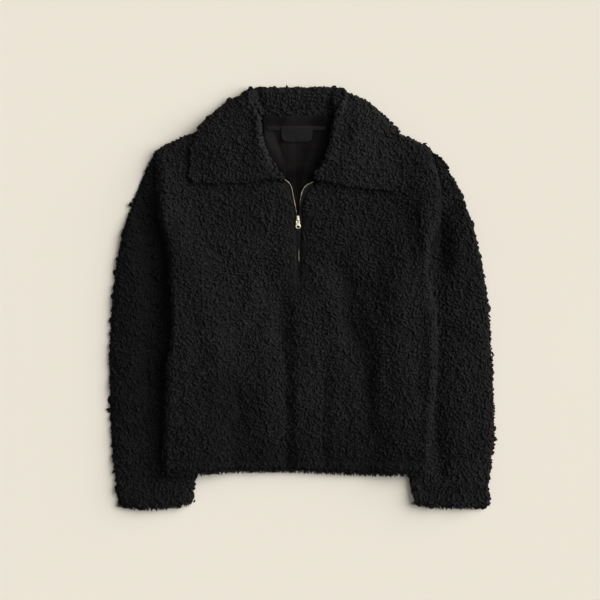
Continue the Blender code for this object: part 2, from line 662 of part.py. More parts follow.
def build_lining(surface_at, finish):
    """The smooth lining inside the neck."""
    rows = []
    for y, left, right in LINING_ROWS[::-1]:
        rows.append([(x, y) for x in np.linspace(left, right, LINING_COLUMNS + 1)])
    lattice = np.array(rows, float)
    shape = lattice.shape[:2]
    under = highest_near(surface_at, lattice.reshape(-1, 2)).reshape(shape) + 2.0 * GAP
    return slab("lining", lattice, grid_cells(*shape), under + LINING, under, finish)


def build_neck_tape(surface_at, finish):
    columns = np.linspace(NECK_TAPE["left"], NECK_TAPE["right"], 2 * LINING_COLUMNS + 1)
    lattice = np.array([[(x, y) for x in columns] for y in (NECK_TAPE["low"], NECK_TAPE["high"])])
    shape = lattice.shape[:2]
    under = surface_at(lattice.reshape(-1, 2)).reshape(shape) + 3.0 * GAP
    return slab("neck_tape", lattice, grid_cells(*shape), under + TAPE, under, finish)


def build_label(surface_at, finish):
    """A bare label hung by its top edge, with rounded lower corners."""
    half = 0.5 * LABEL_SIZE["width"]
    top, bottom, corner = LABEL_SIZE["top"], LABEL_SIZE["bottom"], LABEL_SIZE["corner"]
    heights = [top, top - 8.0, bottom + corner]
    halves = [half] * 3
    for turn in (30, 60, 85):
        heights.append(bottom + corner * (1 - math.sin(math.radians(turn))))
        halves.append(half - corner * (1 - math.cos(math.radians(turn))))
    lattice = np.array([[(LABEL_SIZE["middle"] + share * h, y) for share in np.linspace(-1, 1, 7)]
                        for y, h in zip(heights[::-1], halves[::-1])])
    shape = lattice.shape[:2]
    ground = surface_at(lattice.reshape(-1, 2)).reshape(shape)
    under = np.maximum(ground, ground.max(axis=1, keepdims=True)) + 4.0 * GAP
    under[-3:] = under[-3:].max()
    return slab("label", lattice, grid_cells(*shape), under + LABEL, under, finish)


def build_zip_tape(name, teeth, slit, way, back_top_at, finish):
    """One tape, from its teeth to under the front's edge."""
    inner = along(teeth, np.linspace(0.0, 1.0, ZIP_STATIONS))
    outer_x = across(slit, inner[:, 1]) + way * TAPE_UNDER
    outer = np.stack([outer_x, inner[:, 1]], axis=1)
    left, right = (inner, outer) if way > 0 else (outer, inner)
    middle = 0.5 * (left + right)
    lattice = np.stack([left, middle, right], axis=1)
    shape = lattice.shape[:2]
    under = back_top_at(lattice.reshape(-1, 2)).reshape(shape) + TAPE_REST
    return slab(name, lattice, grid_cells(*shape), under + TAPE, under, finish)


def rounded_bar(half_width, low, high, corner, steps=3):
    """A rectangle in the floor's plane with round corners, anticlockwise."""
    outline = []
    right, left = half_width, -half_width
    for x, y, start in ((right, low, -90), (right, high, 0), (left, high, 90), (left, low, 180)):
        cx = x - math.copysign(corner, x)
        cy = y + corner if y == low else y - corner
        for k in range(steps + 1):
            turn = math.radians(start + 90.0 * k / steps)
            outline.append((ZIP_MIDDLE + cx + corner * math.cos(turn), cy + corner * math.sin(turn)))
    return outline


def build_slider(brass):
    """Two plates joined by a post between the teeth, and the arch that holds the pull tab."""
    top, foot = SLIDER_TOP_Y, SLIDER_TOP_Y - SLIDER_LENGTH
    half = 0.5 * SLIDER_WIDTH
    slider = prism("zip_slider", rounded_bar(half, foot, top, 2.0), *PLATE_HIGH, brass)
    low_plate = prism("slider_low_plate", rounded_bar(half, foot, top, 2.0), *PLATE_LOW, brass)
    post = box("slider_post", (ZIP_MIDDLE - 0.5 * POST_WIDTH, top - 0.8 - POST_LENGTH, PLATE_LOW[0] + 0.4),
               (ZIP_MIDDLE + 0.5 * POST_WIDTH, top - 0.8, PLATE_HIGH[1] - 0.4), brass)
    axis_z = PLATE_HIGH[1] + WINDOW_HALF
    arch = box("slider_arch", (ZIP_MIDDLE - 0.5 * ARCH_WIDTH, PULL_AXIS_Y - ARCH_HALF, PLATE_HIGH[1] - 0.4),
               (ZIP_MIDDLE + 0.5 * ARCH_WIDTH, PULL_AXIS_Y + ARCH_HALF, axis_z + WINDOW_HALF + ARCH_TOP), brass)
    window = box("slider_window", (ZIP_MIDDLE - ARCH_WIDTH, PULL_AXIS_Y - WINDOW_HALF, PLATE_HIGH[1]),
                 (ZIP_MIDDLE + ARCH_WIDTH, PULL_AXIS_Y + WINDOW_HALF, axis_z + WINDOW_HALF), brass)
    for other in (low_plate, post, arch):
        combine(slider, other, "UNION")
    combine(slider, window, "DIFFERENCE")
    return slider, axis_z


def build_pull_tab(brass, axis_z):
    """A flat tab hung on its own bar inside the arch, widening to a ring at its end."""
    bar = 0.5 * PULL_BAR
    head = PULL_AXIS_Y + bar
    ring_y = head - PULL_LENGTH + PULL_RING_RADIUS
    right = [(PULL_HEAD_HALF, head), (PULL_HEAD_HALF, head - 4.6), (PULL_WAIST_HALF, head - 6.2)]
    start = math.asin(min(1.0, PULL_WAIST_HALF / PULL_RING_RADIUS))
    arc = np.linspace(start, 2.0 * math.pi - start, 19)
    ring = [(PULL_RING_RADIUS * math.sin(a), ring_y + PULL_RING_RADIUS * math.cos(a)) for a in arc]
    left = [(-x, y) for x, y in right[::-1]]
    outline = [(ZIP_MIDDLE + x, y) for x, y in (right + ring + left)][::-1]
    low, high = axis_z - 0.5 * PULL_THICK, axis_z + 0.5 * PULL_THICK
    tab = prism("pull_tab", outline, low, high, brass)
    window = box("pull_window", (ZIP_MIDDLE - PULL_WINDOW_HALF, PULL_AXIS_Y - bar - PULL_WINDOW_LENGTH, low - 1.0),
                 (ZIP_MIDDLE + PULL_WINDOW_HALF, PULL_AXIS_Y - bar, high + 1.0), brass)
    hole_outline = [(ZIP_MIDDLE + PULL_HOLE_RADIUS * math.cos(a), ring_y - 0.3 + PULL_HOLE_RADIUS * math.sin(a))
                    for a in np.linspace(0.0, 2.0 * math.pi, 17)[:-1]]
    hole = prism("pull_hole", hole_outline, low - 1.0, high + 1.0, brass)
    combine(tab, window, "DIFFERENCE")
    combine(tab, hole, "DIFFERENCE")
    return tab


def main():
    for old in list(bpy.data.objects):
        bpy.data.objects.remove(old)
    fleece = material("sherpa fleece", (0.022, 0.021, 0.021), 0.95)
    lining_cloth = material("lining twill", (0.02, 0.019, 0.02), 0.6)
    tape_cloth = material("zip tape", (0.025, 0.024, 0.026), 0.7)
    label_cloth = material("label satin", (0.018, 0.018, 0.02), 0.45)
    brass = material("polished brass", (0.86, 0.66, 0.33), 0.22, 1.0)

    left_plan = sleeve_plan(LEFT_SLEEVE, SIDE_LEFT)
    right_plan = sleeve_plan(RIGHT_SLEEVE, SIDE_RIGHT)
    back, front = build_body(fleece, (left_plan, right_plan))
    lattice = body_lattice()[0]
    body_outline = border(lattice)
    build_sleeve("sleeve_left", left_plan, body_outline, fleece)
    build_sleeve("sleeve_right", right_plan, body_outline, fleece)

    collar = wall("collar", collar_middle(height_reader(front)), COLLAR, fleece)
    back_top_at = height_reader(back)
    back_and_collar_at = height_reader(back, collar)

    def inside_neck_at(places):
        highest = back_and_collar_at(places)
        on_seam = (places[:, 1] > COLLAR_SHOWS_Y) & (highest < SEAM_HIGHEST)
        return np.where(on_seam, highest, back_top_at(places))

    lining = build_lining(inside_neck_at, lining_cloth)
    neck_tape = build_neck_tape(height_reader(lining), tape_cloth)
    build_label(height_reader(lining, neck_tape), label_cloth)

    build_zip_tape("zip_tape_left", TEETH_LEFT, SLIT_LEFT, -1.0, back_top_at, tape_cloth)
    build_zip_tape("zip_tape_right", TEETH_RIGHT, SLIT_RIGHT, 1.0, back_top_at, tape_cloth)
    _, axis_z = build_slider(brass)
    build_pull_tab(brass, axis_z)


main()
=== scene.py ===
import json
import math

import bmesh
import bpy
import numpy as np
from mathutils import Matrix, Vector, noise
from mathutils.bvhtree import BVHTree

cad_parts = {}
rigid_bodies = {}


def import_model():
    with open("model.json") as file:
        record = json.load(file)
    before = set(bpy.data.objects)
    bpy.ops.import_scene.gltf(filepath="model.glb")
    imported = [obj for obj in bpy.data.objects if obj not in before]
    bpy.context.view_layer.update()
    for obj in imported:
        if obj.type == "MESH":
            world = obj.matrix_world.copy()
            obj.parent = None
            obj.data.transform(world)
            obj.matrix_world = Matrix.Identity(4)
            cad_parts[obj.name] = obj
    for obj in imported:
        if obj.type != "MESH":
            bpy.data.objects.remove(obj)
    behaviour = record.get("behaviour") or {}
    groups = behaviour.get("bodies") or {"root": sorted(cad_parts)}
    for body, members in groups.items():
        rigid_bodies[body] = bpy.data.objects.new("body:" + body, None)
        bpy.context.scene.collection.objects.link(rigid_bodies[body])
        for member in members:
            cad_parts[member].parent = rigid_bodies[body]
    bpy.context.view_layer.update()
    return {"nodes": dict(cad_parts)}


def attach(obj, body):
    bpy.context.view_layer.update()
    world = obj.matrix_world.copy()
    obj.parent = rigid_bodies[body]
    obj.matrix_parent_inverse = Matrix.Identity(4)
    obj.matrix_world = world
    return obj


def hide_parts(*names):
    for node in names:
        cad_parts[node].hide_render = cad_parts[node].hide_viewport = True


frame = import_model()
mm = 0.001


# camera, light and floor

shoot = {
    "middle": (-2.52, -3.36), "height": 3500.0, "width": 1008.0, "level": 12.0,     # mm; the view is this wide at that level
    "farthest": 60.0,       # m
    "keyAim": (0.82, 0.32, 0.54), "keyPower": 4.50, "keySoftness": 60.0,
    "topAim": (0.10, 0.06, 1.0), "topPower": 0.40, "topSoftness": 62.0,
    "roomLight": 0.135, "roomTint": (1.0, 0.985, 0.96),
}


def newObject(name, data):
    made = bpy.data.objects.new(name, data)
    bpy.context.scene.collection.objects.link(made)
    return made


def makeSun(name, aim, power, softness):
    lamp = bpy.data.lights.new(name, "SUN")
    lamp.energy = power
    lamp.angle = math.radians(softness)
    newObject(name, lamp).rotation_euler = Vector(aim).to_track_quat("Z", "Y").to_euler()


def setTheStage():
    scene = bpy.context.scene
    scene.view_settings.view_transform = "Standard"
    scene.view_settings.look = "None"
    lens = bpy.data.cameras.new("overhead_camera")
    lens.lens = 36.0 * (shoot["height"] - shoot["level"]) / shoot["width"]     # on a sensor 36 mm wide
    lens.clip_end = shoot["farthest"]
    scene.camera = newObject("overhead_camera", lens)
    scene.camera.location = (shoot["middle"][0] * mm, shoot["middle"][1] * mm, shoot["height"] * mm)
    for name in ("key", "top"):
        makeSun(name + "_light", shoot[name + "Aim"], shoot[name + "Power"], shoot[name + "Softness"])
    scene.world = bpy.data.worlds.new("room")
    scene.world.use_nodes = True
    sky = scene.world.node_tree.nodes["Background"].inputs
    sky["Color"].default_value = (*shoot["roomTint"], 1.0)
    sky["Strength"].default_value = shoot["roomLight"]


# node helpers

class Flow:     # an output of a node, which plain sums can be written with
    def __init__(self, socket):
        self.socket, self.tree = socket, socket.id_data

    def __getitem__(self, key):     # another output of the same node
        return Flow(self.socket.node.outputs[key])

    def sums(self, operation, *values, clamp=False):
        return addNode(self.tree, "ShaderNodeMath", dict(enumerate(values)), operation=operation, use_clamp=clamp)

    def __add__(self, other):
        return self.sums("ADD", self, other)

    def __mul__(self, other):
        return self.sums("MULTIPLY", self, other)

    def __sub__(self, other):
        return self.sums("SUBTRACT", self, other)

    def __rsub__(self, other):
        return self.sums("SUBTRACT", other, self)

    def __rtruediv__(self, other):
        return self.sums("DIVIDE", other, self)


def feed(target, value):
    if isinstance(value, Flow):
        target.id_data.links.new(value.socket, target)
    else:
        target.default_value = value


def addNode(tree, kind, inputs=None, **settings):
    made = tree.nodes.new(kind)
    for key, value in settings.items():
        setattr(made, key, value)
    for key, value in (inputs or {}).items():
        at = made.inputs[key] if isinstance(key, int) else next(s for s in made.inputs if s.name == key and s.enabled)
        feed(at, value)
    return Flow(made.outputs[0])


def newGroup(name, kind, given, results):
    tree = bpy.data.node_groups.new(name, kind)
    for key, value in given.items():        # a number is a default, a word is the kind of socket
        plain = {float: "Float", int: "Int"}.get(type(value))
        socket = tree.interface.new_socket(key, in_out="INPUT", socket_type="NodeSocket" + (plain or value))
        if plain:
            socket.default_value = value
    for key, value in results.items():
        tree.interface.new_socket(key, in_out="OUTPUT", socket_type="NodeSocket" + value)
    return Flow(tree.nodes.new("NodeGroupInput").outputs[0]), tree.nodes.new("NodeGroupOutput").inputs


def clampedSum(first, second):
    return first.sums("ADD", first, second, clamp=True)


def vectorSum(operation, *values, **others):
    return addNode(values[0].tree, "ShaderNodeVectorMath", {**dict(enumerate(values)), **others}, operation=operation)


def vectorOf(tree, x, y, z):
    return addNode(tree, "ShaderNodeCombineXYZ", {0: x, 1: y, 2: z})


def partsOf(vector):
    return addNode(vector.tree, "ShaderNodeSeparateXYZ", {0: vector})


def noiseOf(place, scale, detail, **others):
    return addNode(place.tree, "ShaderNodeTexNoise", {"Vector": place, "Scale": scale, "Detail": detail, **others})


def stretched(place, scale):
    return addNode(place.tree, "ShaderNodeMapping", {"Vector": place, "Scale": scale})


def ranged(value, low, high, toLow, toHigh):
    return addNode(value.tree, "ShaderNodeMapRange", {0: value, 1: low, 2: high, 3: toLow, 4: toHigh})


def mixColors(share, first, second):
    first, second = (c if isinstance(c, Flow) else (*c, 1.0) for c in (first, second))
    return addNode(share.tree, "ShaderNodeMix", {0: share, 6: first, 7: second}, data_type="RGBA")[2]


def bumpOf(height, distance, strength, **normal):
    return addNode(height.tree, "ShaderNodeBump", {"Height": height, "Distance": distance, "Strength": strength, **normal})


# shader groups that several finishes share

def fibreGroup():
    given, end = newGroup("fine_fibres", "ShaderNodeTree", {
        "Vector": "Vector", "Strand Scale": 700.0, "Lint Scale": 90.0, "Twist": 1.5}, {"Mask": "Float", "Height": "Float"})
    strands = noiseOf(given["Vector"], given["Strand Scale"], 3.0, Roughness=0.65, Distortion=given["Twist"])
    lint = noiseOf(given["Vector"], given["Lint Scale"], 2.0)
    feed(end["Mask"], strands * 0.7 + lint * 0.3)
    feed(end["Height"], strands)
    return given.tree


def weaveGroup():
    given, end = newGroup("thread_weave", "ShaderNodeTree", {
        "Vector": "Vector", "Pitch": 0.0009, "Slant": 1.0, "Cross": 0.4}, {"Height": "Float", "Mask": "Float"})
    part = partsOf(given["Vector"])
    turn = math.tau / given["Pitch"]
    ribs = part.sums("SINE", (part[1] + part[0] * given["Slant"]) * turn)
    across = part.sums("SINE", part[0] * 2.0 * turn)
    height = (ribs + across * given["Cross"]) * 0.35 + 0.5
    feed(end["Height"], height)
    feed(end["Mask"], clampedSum(height, 0.0))
    return given.tree


def wearGroup():
    given, end = newGroup("handled_metal", "ShaderNodeTree", {
        "Vector": "Vector", "Patch Scale": 260.0, "Scratch Scale": 1500.0}, {"Dullness": "Float", "Height": "Float"})
    patches = noiseOf(given["Vector"], given["Patch Scale"], 4.0)
    scratches = noiseOf(stretched(given["Vector"], (4.0, 0.6, 1.0)), given["Scratch Scale"], 2.0)
    feed(end["Dullness"], clampedSum(patches * 0.6, scratches * 0.4))
    feed(end["Height"], scratches)
    return given.tree


shared = {"fibres": fibreGroup(), "weave": weaveGroup(), "wear": wearGroup()}


def useGroup(name, place, *values):
    made = place.tree.nodes.new("ShaderNodeGroup")
    made.node_tree = shared[name]
    for target, value in zip(made.inputs, (place, *values)):
        feed(target, value)
    return Flow(made.outputs[0])


# finishes: each function tells what feeds the shader of one material

def newFinish(name, recipe, *given):
    made = bpy.data.materials.new(name)
    made.use_nodes = True
    place = addNode(made.node_tree, "ShaderNodeTexCoord")["Object"]
    shader = made.node_tree.nodes["Principled BSDF"]
    for key, value in recipe(place, *given).items():
        feed(shader.inputs[key], value)
    return made


def attributeOf(place, name, kind="Fac"):
    return addNode(place.tree, "ShaderNodeAttribute", attribute_name=name)[kind]


fleeceLook = {
    "root": (0.0050, 0.0047, 0.0048), "tip": (0.0206, 0.0194, 0.0196), "faded": (0.0225, 0.0194, 0.0182),
    "toneShare": 0.26, "riseShare": 0.40, "strandShare": 0.44, "least": -0.12, "roughness": (0.98, 0.80), "gloss": 0.10,
    "groundShare": 0.12, "fuzz": 0.008, "fuzzRoughness": 0.6, "layShare": 0.5, "fadedScale": 9.0, "fadedShare": 0.35,
    "curlFibres": (2.5, 0.8, 0.6), "groundFibres": (620.0, 210.0, 2.2), "tufts": 330.0, "curlDepth": 0.0013, "groundDepth": 0.0022,
}


def fleeceFinish(place, isCurl):
    look, tree = fleeceLook, place.tree
    # the tone mixes random tone with painted shade and light
    share = attributeOf(place, "tone") * look["toneShare"]
    normal = {}
    if isCurl:      # wool strands that run along each curl
        # painted shade: each curl darker towards its root, paler at its top
        share += attributeOf(place, "rise") * look["riseShare"]
        strand = stretched(attributeOf(place, "strand", "Vector"), (1.0, 1.0, 0.07))
        fibres = useGroup("fibres", vectorSum("ADD", strand, place), *look["curlFibres"])
        height, depth = fibres["Height"], look["curlDepth"]
        # wool scatters light as the cloth below it lies
        lay = vectorSum("SCALE", attributeOf(place, "lay", "Vector"), Scale=look["layShare"])
        own = addNode(tree, "ShaderNodeNewGeometry")["Normal"]
        normal["Normal"] = vectorSum("NORMALIZE", vectorSum("ADD", own, lay))
    else:           # the knitted ground between the curls, tufted all over
        fibres = useGroup("fibres", place, *look["groundFibres"])
        tufts = addNode(tree, "ShaderNodeTexVoronoi", {"Vector": place, "Scale": look["tufts"]}, feature="SMOOTH_F1")
        # painted shade: the ground is paler in the middle of each tuft and darker in the crevices between them
        share += ranged(tufts, 0.0, 0.8, look["groundShare"], -0.1)
        height, depth = fibres["Height"] * 0.5 - tufts, look["groundDepth"]
    share = clampedSum(share, ranged(fibres["Mask"], 0.34, 0.66, look["least"], look["least"] + look["strandShare"]))
    # root is the dark end, where shade is painted at curl roots, in cracks and in shaded places; tip is the pale end,
    # where light is painted too; fibres and random tone also mix between them
    color, faded = (mixColors(share, look["root"], look[key]) for key in ("tip", "faded"))
    warm = ranged(noiseOf(place, look["fadedScale"], 2.0), 0.42, 0.72, 0.0, look["fadedShare"])
    return {"Base Color": mixColors(warm, color, faded), "Roughness": ranged(fibres["Mask"], 0.3, 0.7, *look["roughness"]),
            "Specular IOR Level": look["gloss"], "Sheen Weight": look["fuzz"], "Sheen Roughness": look["fuzzRoughness"],
            "Normal": bumpOf(height, depth, 0.8, **normal)}


liningLook = {
    "ground": (0.0030, 0.0025, 0.0023), "thread": (0.0110, 0.0097, 0.0094), "deep": (0.0011, 0.0006, 0.0004),
    "weave": (0.00085, 1.0, 0.35), "fibres": (1400.0, 34.0, 0.4), "weaveShare": 0.35, "fibreShare": 0.3, "toneShare": 0.8,
    "panelShare": 0.16, "panelEdges": (-26.0, -9.5), "roughness": (0.78, 0.60), "gloss": 0.08, "depth": 0.00012,
}


def liningFinish(place):
    look = liningLook
    weave, fibres = useGroup("weave", place, *look["weave"]), useGroup("fibres", place, *look["fibres"])
    tone = attributeOf(place, "tone")
    share = weave["Mask"] * look["weaveShare"] + ranged(fibres["Mask"], 0.35, 0.65, 0.0, look["fibreShare"])
    # the tone carries painted light and shade: lit on the left, shaded on the right and in the V
    share += tone * look["toneShare"]
    x, soft = partsOf(place), 0.4 * mm      # a centre panel that is cut on another grain
    left, right = (edge * mm for edge in look["panelEdges"])
    panel = ranged(x, left - soft, left + soft, 0.0, 1.0) * ranged(x, right - soft, right + soft, 1.0, 0.0)
    color = mixColors(clampedSum(share, panel * look["panelShare"]), look["ground"], look["thread"])
    # painted shade: where the tone is low the lining turns towards a brown-black shade colour
    return {"Base Color": mixColors(ranged(tone, -0.45, -0.05, 1.0, 0.0), color, look["deep"]),
            "Roughness": ranged(weave["Mask"], 0.0, 1.0, *look["roughness"]), "Specular IOR Level": look["gloss"],
            "Normal": bumpOf(weave["Height"], look["depth"], 0.5)}


tapeLook = {
    "ground": (0.0050, 0.0047, 0.0047), "thread": (0.0170, 0.0160, 0.0160), "weave": (0.0011, 0.0, 0.9), "fibres": (1800.0, 120.0, 0.8),
    "weaveShare": 0.5, "rougher": "fibres", "roughness": (0.3, 0.7, 0.92, 0.74), "gloss": 0.12, "depth": 0.0002, "bump": 0.7,
}
labelLook = {
    "ground": (0.0070, 0.0063, 0.0064), "thread": (0.0128, 0.0115, 0.0117), "weave": (0.00055, 0.25, 0.2), "fibres": (900.0, 60.0, 0.2),
    "weaveShare": 0.6, "rougher": "weave", "roughness": (0.0, 1.0, 0.66, 0.52), "gloss": 0.10, "depth": 0.00008, "bump": 0.5,
}


def wovenFinish(place, look):
    parts = {name: useGroup(name, place, *look[name]) for name in ("weave", "fibres")}
    weave, fibres = parts["weave"], parts["fibres"]
    share = clampedSum(weave["Mask"] * look["weaveShare"], ranged(fibres["Mask"], 0.35, 0.65, 0.0, 1.0 - look["weaveShare"]))
    return {"Base Color": mixColors(share, look["ground"], look["thread"]),
            "Roughness": ranged(parts[look["rougher"]]["Mask"], *look["roughness"]), "Specular IOR Level": look["gloss"],
            "Normal": bumpOf(weave["Height"], look["depth"], look["bump"])}


threadLook = {
    "dark": (0.010, 0.010, 0.010), "light": (0.040, 0.038, 0.037), "fibres": (3200.0, 300.0, 1.0), "roughness": (0.7, 0.5),
    "depth": 0.0001,
}


def threadFinish(place):
    look = threadLook
    fibres = useGroup("fibres", place, *look["fibres"])
    return {"Base Color": mixColors(fibres["Mask"], look["dark"], look["light"]),
            "Roughness": ranged(fibres["Mask"], 0.3, 0.7, *look["roughness"]), "Normal": bumpOf(fibres["Height"], look["depth"], 0.6)}


brassLook = {
    "slider": {"bright": (0.91, 0.85, 0.65), "dull": (0.60, 0.53, 0.37), "roughness": (0.40, 0.54)},
    "teeth": {"bright": (0.80, 0.72, 0.52), "dull": (0.44, 0.37, 0.23), "roughness": (0.38, 0.58)},
    "patches": 240.0, "scratches": 1400.0, "dullShare": 0.55, "depth": 0.00003,
}


def brassFinish(place, look):
    wear = useGroup("wear", place, brassLook["patches"], brassLook["scratches"])
    dull = ranged(wear["Dullness"], 0.35, 0.75, 0.0, brassLook["dullShare"])
    return {"Base Color": mixColors(dull, look["bright"], look["dull"]), "Metallic": 1.0,
            "Roughness": ranged(wear["Dullness"], 0.3, 0.7, *look["roughness"]),
            "Normal": bumpOf(wear["Height"], brassLook["depth"], 0.3)}


floorLook = {
    "tint": (0.829, 0.775, 0.673), "uneven": 0.008, "fibres": (420.0, 3.0, 0.0), "roughness": 0.9, "gloss": 0.1, "depth": 0.00005,
    "half": 6, "drop": -0.0003,
}


def floorFinish(place):
    look = floorLook
    grain = useGroup("fibres", place, *look["fibres"])
    darker, paler = (tuple(c * (1.0 + change) for c in look["tint"]) for change in (-look["uneven"], look["uneven"]))
    return {"Base Color": mixColors(ranged(grain["Mask"], 0.3, 0.7, 0.0, 1.0), darker, paler), "Roughness": look["roughness"],
            "Specular IOR Level": look["gloss"], "Normal": bumpOf(grain["Height"], look["depth"], 0.1)}


finishes = {
    "fleece": newFinish("black_sherpa_pile", fleeceFinish, True),
    "ground": newFinish("black_sherpa_ground", fleeceFinish, False),
    "lining": newFinish("black_twill_lining", liningFinish),
    "tape": newFinish("black_cotton_tape", wovenFinish, tapeLook),
    "label": newFinish("black_label_satin", wovenFinish, labelLook),
    "thread": newFinish("black_sewing_thread", threadFinish),
    "brass": newFinish("pale_brass", brassFinish, brassLook["slider"]),
    "teeth": newFinish("tooth_brass", brassFinish, brassLook["teeth"]),
    "floor": newFinish("cream_paper", floorFinish),
}


# small sums and meshes

def smoothStep(low, high, value):
    share = np.clip((np.asarray(value, float) - low) / (high - low), 0.0, 1.0)
    return share * share * (3.0 - 2.0 * share)


def smoothLine(points, step):
    p = np.array(points, float)
    p = np.vstack([2 * p[0] - p[1], p, 2 * p[-1] - p[-2]])
    t = np.linspace(0.0, 1.0, 17)[:, None]
    runs = [b + 0.5 * ((c - a) * t + (2 * a - 5 * b + 4 * c - d) * t ** 2 + (3 * b - a - 3 * c + d) * t ** 3)
            for a, b, c, d in zip(p, p[1:], p[2:], p[3:])]
    dense = np.vstack(runs)
    length = np.concatenate([[0.0], np.cumsum(np.linalg.norm(np.diff(dense, axis=0), axis=1))])
    at = np.linspace(0.0, length[-1], max(2, int(length[-1] / step) + 1))
    return np.stack([np.interp(at, length, dense[:, k]) for k in range(p.shape[1])], axis=-1)


def distanceTo(points, line):
    line = np.array(line, float)
    best = np.full(len(points), np.inf)
    for a, b in zip(line[:-1], line[1:]):
        run = b - a
        share = np.clip((points - a) @ run / (run @ run), 0.0, 1.0)
        best = np.minimum(best, np.linalg.norm(points - (a + share[:, None] * run), axis=1))
    return best


def heightOver(nodes, x, y):
    hits = [tree.ray_cast(Vector((x * mm, y * mm, 0.06)), Vector((0, 0, -1)))[0] for tree in nodes]
    return max([h.z / mm for h in hits if h is not None], default=None)


def meshObject(name, points, faces, finish=None):
    mesh = bpy.data.meshes.new(name)
    mesh.from_pydata([tuple(float(c) for c in p) for p in points], [], [tuple(int(i) for i in f) for f in faces])
    mesh.validate()
    mesh.shade_smooth()
    if finish:
        mesh.materials.append(finish)
    return newObject(name, mesh)


def evaluatedMesh(made, name):
    graph = bpy.context.evaluated_depsgraph_get()
    mesh = bpy.data.meshes.new_from_object(made.evaluated_get(graph), preserve_all_data_layers=True, depsgraph=graph)
    mesh.name = name
    return mesh


def verticesOf(mesh):
    found = []
    for layer, key in ((mesh.vertices, "co"), (mesh.vertex_normals, "vector")):
        values = np.zeros(len(mesh.vertices) * 3, np.float32)
        layer.foreach_get(key, values)
        found.append(values.reshape(-1, 3).astype(float))
    return found


def setVertices(mesh, points):
    mesh.vertices.foreach_set("co", points.astype(np.float32).ravel())
    mesh.update()


def setAttribute(mesh, name, values):
    layer = mesh.attributes.get(name) or mesh.attributes.new(name, "FLOAT", "POINT")
    layer.data.foreach_set("value", np.asarray(values, np.float32))


def dropLayers(mesh, names):
    for name in names:
        mesh.attributes.remove(mesh.attributes[name])


def trianglesOf(*pieces):
    return sum(len(p.vertices) - 2 for piece in pieces for p in piece.data.polygons)


def headings(line):
    run = np.gradient(line, axis=0)
    return run / np.linalg.norm(run, axis=1, keepdims=True)


def tubeFaces(steps, around):
    sides = [(k * around + s, k * around + n, (k + 1) * around + n, (k + 1) * around + s)
             for k in range(steps - 1) for s, n in zip(range(around), [*range(1, around), 0])]
    return sides + [tuple(range(around)), tuple(range((steps - 1) * around, steps * around))]


def spread(mesh, values):       # each value with the mean of its neighbours
    edges = np.zeros(len(mesh.edges) * 2, np.int32)
    mesh.edges.foreach_get("vertices", edges)
    a, b = edges.reshape(-1, 2).T
    count = np.bincount(a, minlength=len(values)) + np.bincount(b, minlength=len(values)) + 1.0
    return (values + np.bincount(a, values[b], len(values)) + np.bincount(b, values[a], len(values))) / count


# the layers, each a finer copy of its solid

def finerCopy(node, level):
    shape = bmesh.new()
    shape.from_mesh(frame["nodes"][node].data)
    bmesh.ops.remove_doubles(shape, verts=shape.verts, dist=1e-6)
    bmesh.ops.join_triangles(shape, faces=shape.faces, angle_face_threshold=math.radians(40),
                             angle_shape_threshold=math.radians(70))
    shape.verts.index_update()
    made = meshObject(node + "_rough", [v.co for v in shape.verts], [[v.index for v in f.verts] for f in shape.faces])
    shape.free()
    finer = made.modifiers.new("finer", "SUBSURF")
    finer.levels = finer.render_levels = level
    mesh = evaluatedMesh(made, node + "_cloth")
    bpy.data.objects.remove(made)
    mesh.shade_smooth()
    return mesh


def bvhOf(meshes):
    points, faces = [], []
    for mesh in meshes:
        start = len(points)
        points += [v.co.copy() for v in mesh.vertices]
        faces += [tuple(start + i for i in f.vertices) for f in mesh.polygons]
    return BVHTree.FromPolygons(points, faces)


def openShare(points, normals, own, others):        # how freely each point sees out, and whether it does straight out
    reach, aside = layerForm["reach"], layerForm["aside"]
    shares, straight = np.zeros(len(points)), np.zeros(len(points))
    for i, (p, n) in enumerate(zip(points, normals)):
        up = Vector(n)
        side = up.orthogonal().normalized()
        over = up.cross(side)
        start, clear = Vector(p), []
        for ray in (up, up + aside * side, up - aside * side, up + aside * over, up - aside * over):
            ray = ray.normalized()
            hit = others.ray_cast(start - up * 0.001, ray, reach + 0.001)[0]
            if hit is None:
                hit = own.ray_cast(start + up * 0.0006, ray, reach)[0]
            clear.append(hit is None)
        straight[i] = clear[0]
        shares[i] = 0.7 * clear[0] + 0.3 * sum(clear[1:]) / 4.0
    return shares, straight


def creaseHeight(points, creases, seed):
    x, y = points[:, 0] / mm, points[:, 1] / mm
    total = np.zeros(len(points))
    for number, (x0, y0, x1, y1, half, height) in enumerate(creases):
        run = np.array([x1 - x0, y1 - y0], float)
        length = np.hypot(*run)
        run /= length
        along = (x - x0) * run[0] + (y - y0) * run[1]
        wander = 0.35 * half * np.sin(along / (2.3 * half + 9.0) + seed + number * 1.7)
        off = (x - x0) * -run[1] + (y - y0) * run[0] + wander
        past = np.maximum(np.maximum(-along, along - length), 0.0)
        uneven = 1.0 + 0.25 * np.sin(along / (3.1 * half + 6.0) + number)
        total += height * uneven * np.exp(-(off / half) ** 2 - (past / (1.3 * half)) ** 2)
    return total * mm


def cloudHeight(points, size, height, seed):
    shift = Vector((seed * 3.1, seed * 1.7, seed * 0.9))
    return np.array([noise.noise(Vector(p) / (size * mm) + shift) for p in points]) * height * mm


# how often a layer is refined, and how far inwards the ground of its pile lies, in mm
layerLook = {
    "front": (2, 2.3), "back": (2, 2.3), "sleeve_left": (2, 2.4), "sleeve_right": (2, 2.4), "collar": (2, 2.3), "lining": (3, 0.0),
}
layerForm = {       # clouds are soft swells: size and height in mm, and a number that sets them apart
    "reach": 0.0075, "aside": 0.6, "wallShare": 0.38, "besideZip": 0.3, "edgeFade": 16.0, "innerShare": 0.35,
    "clouds": [(58.0, 1.3, 1.0), (21.0, 0.7, 5.0)], "liningClouds": 0.15,
}

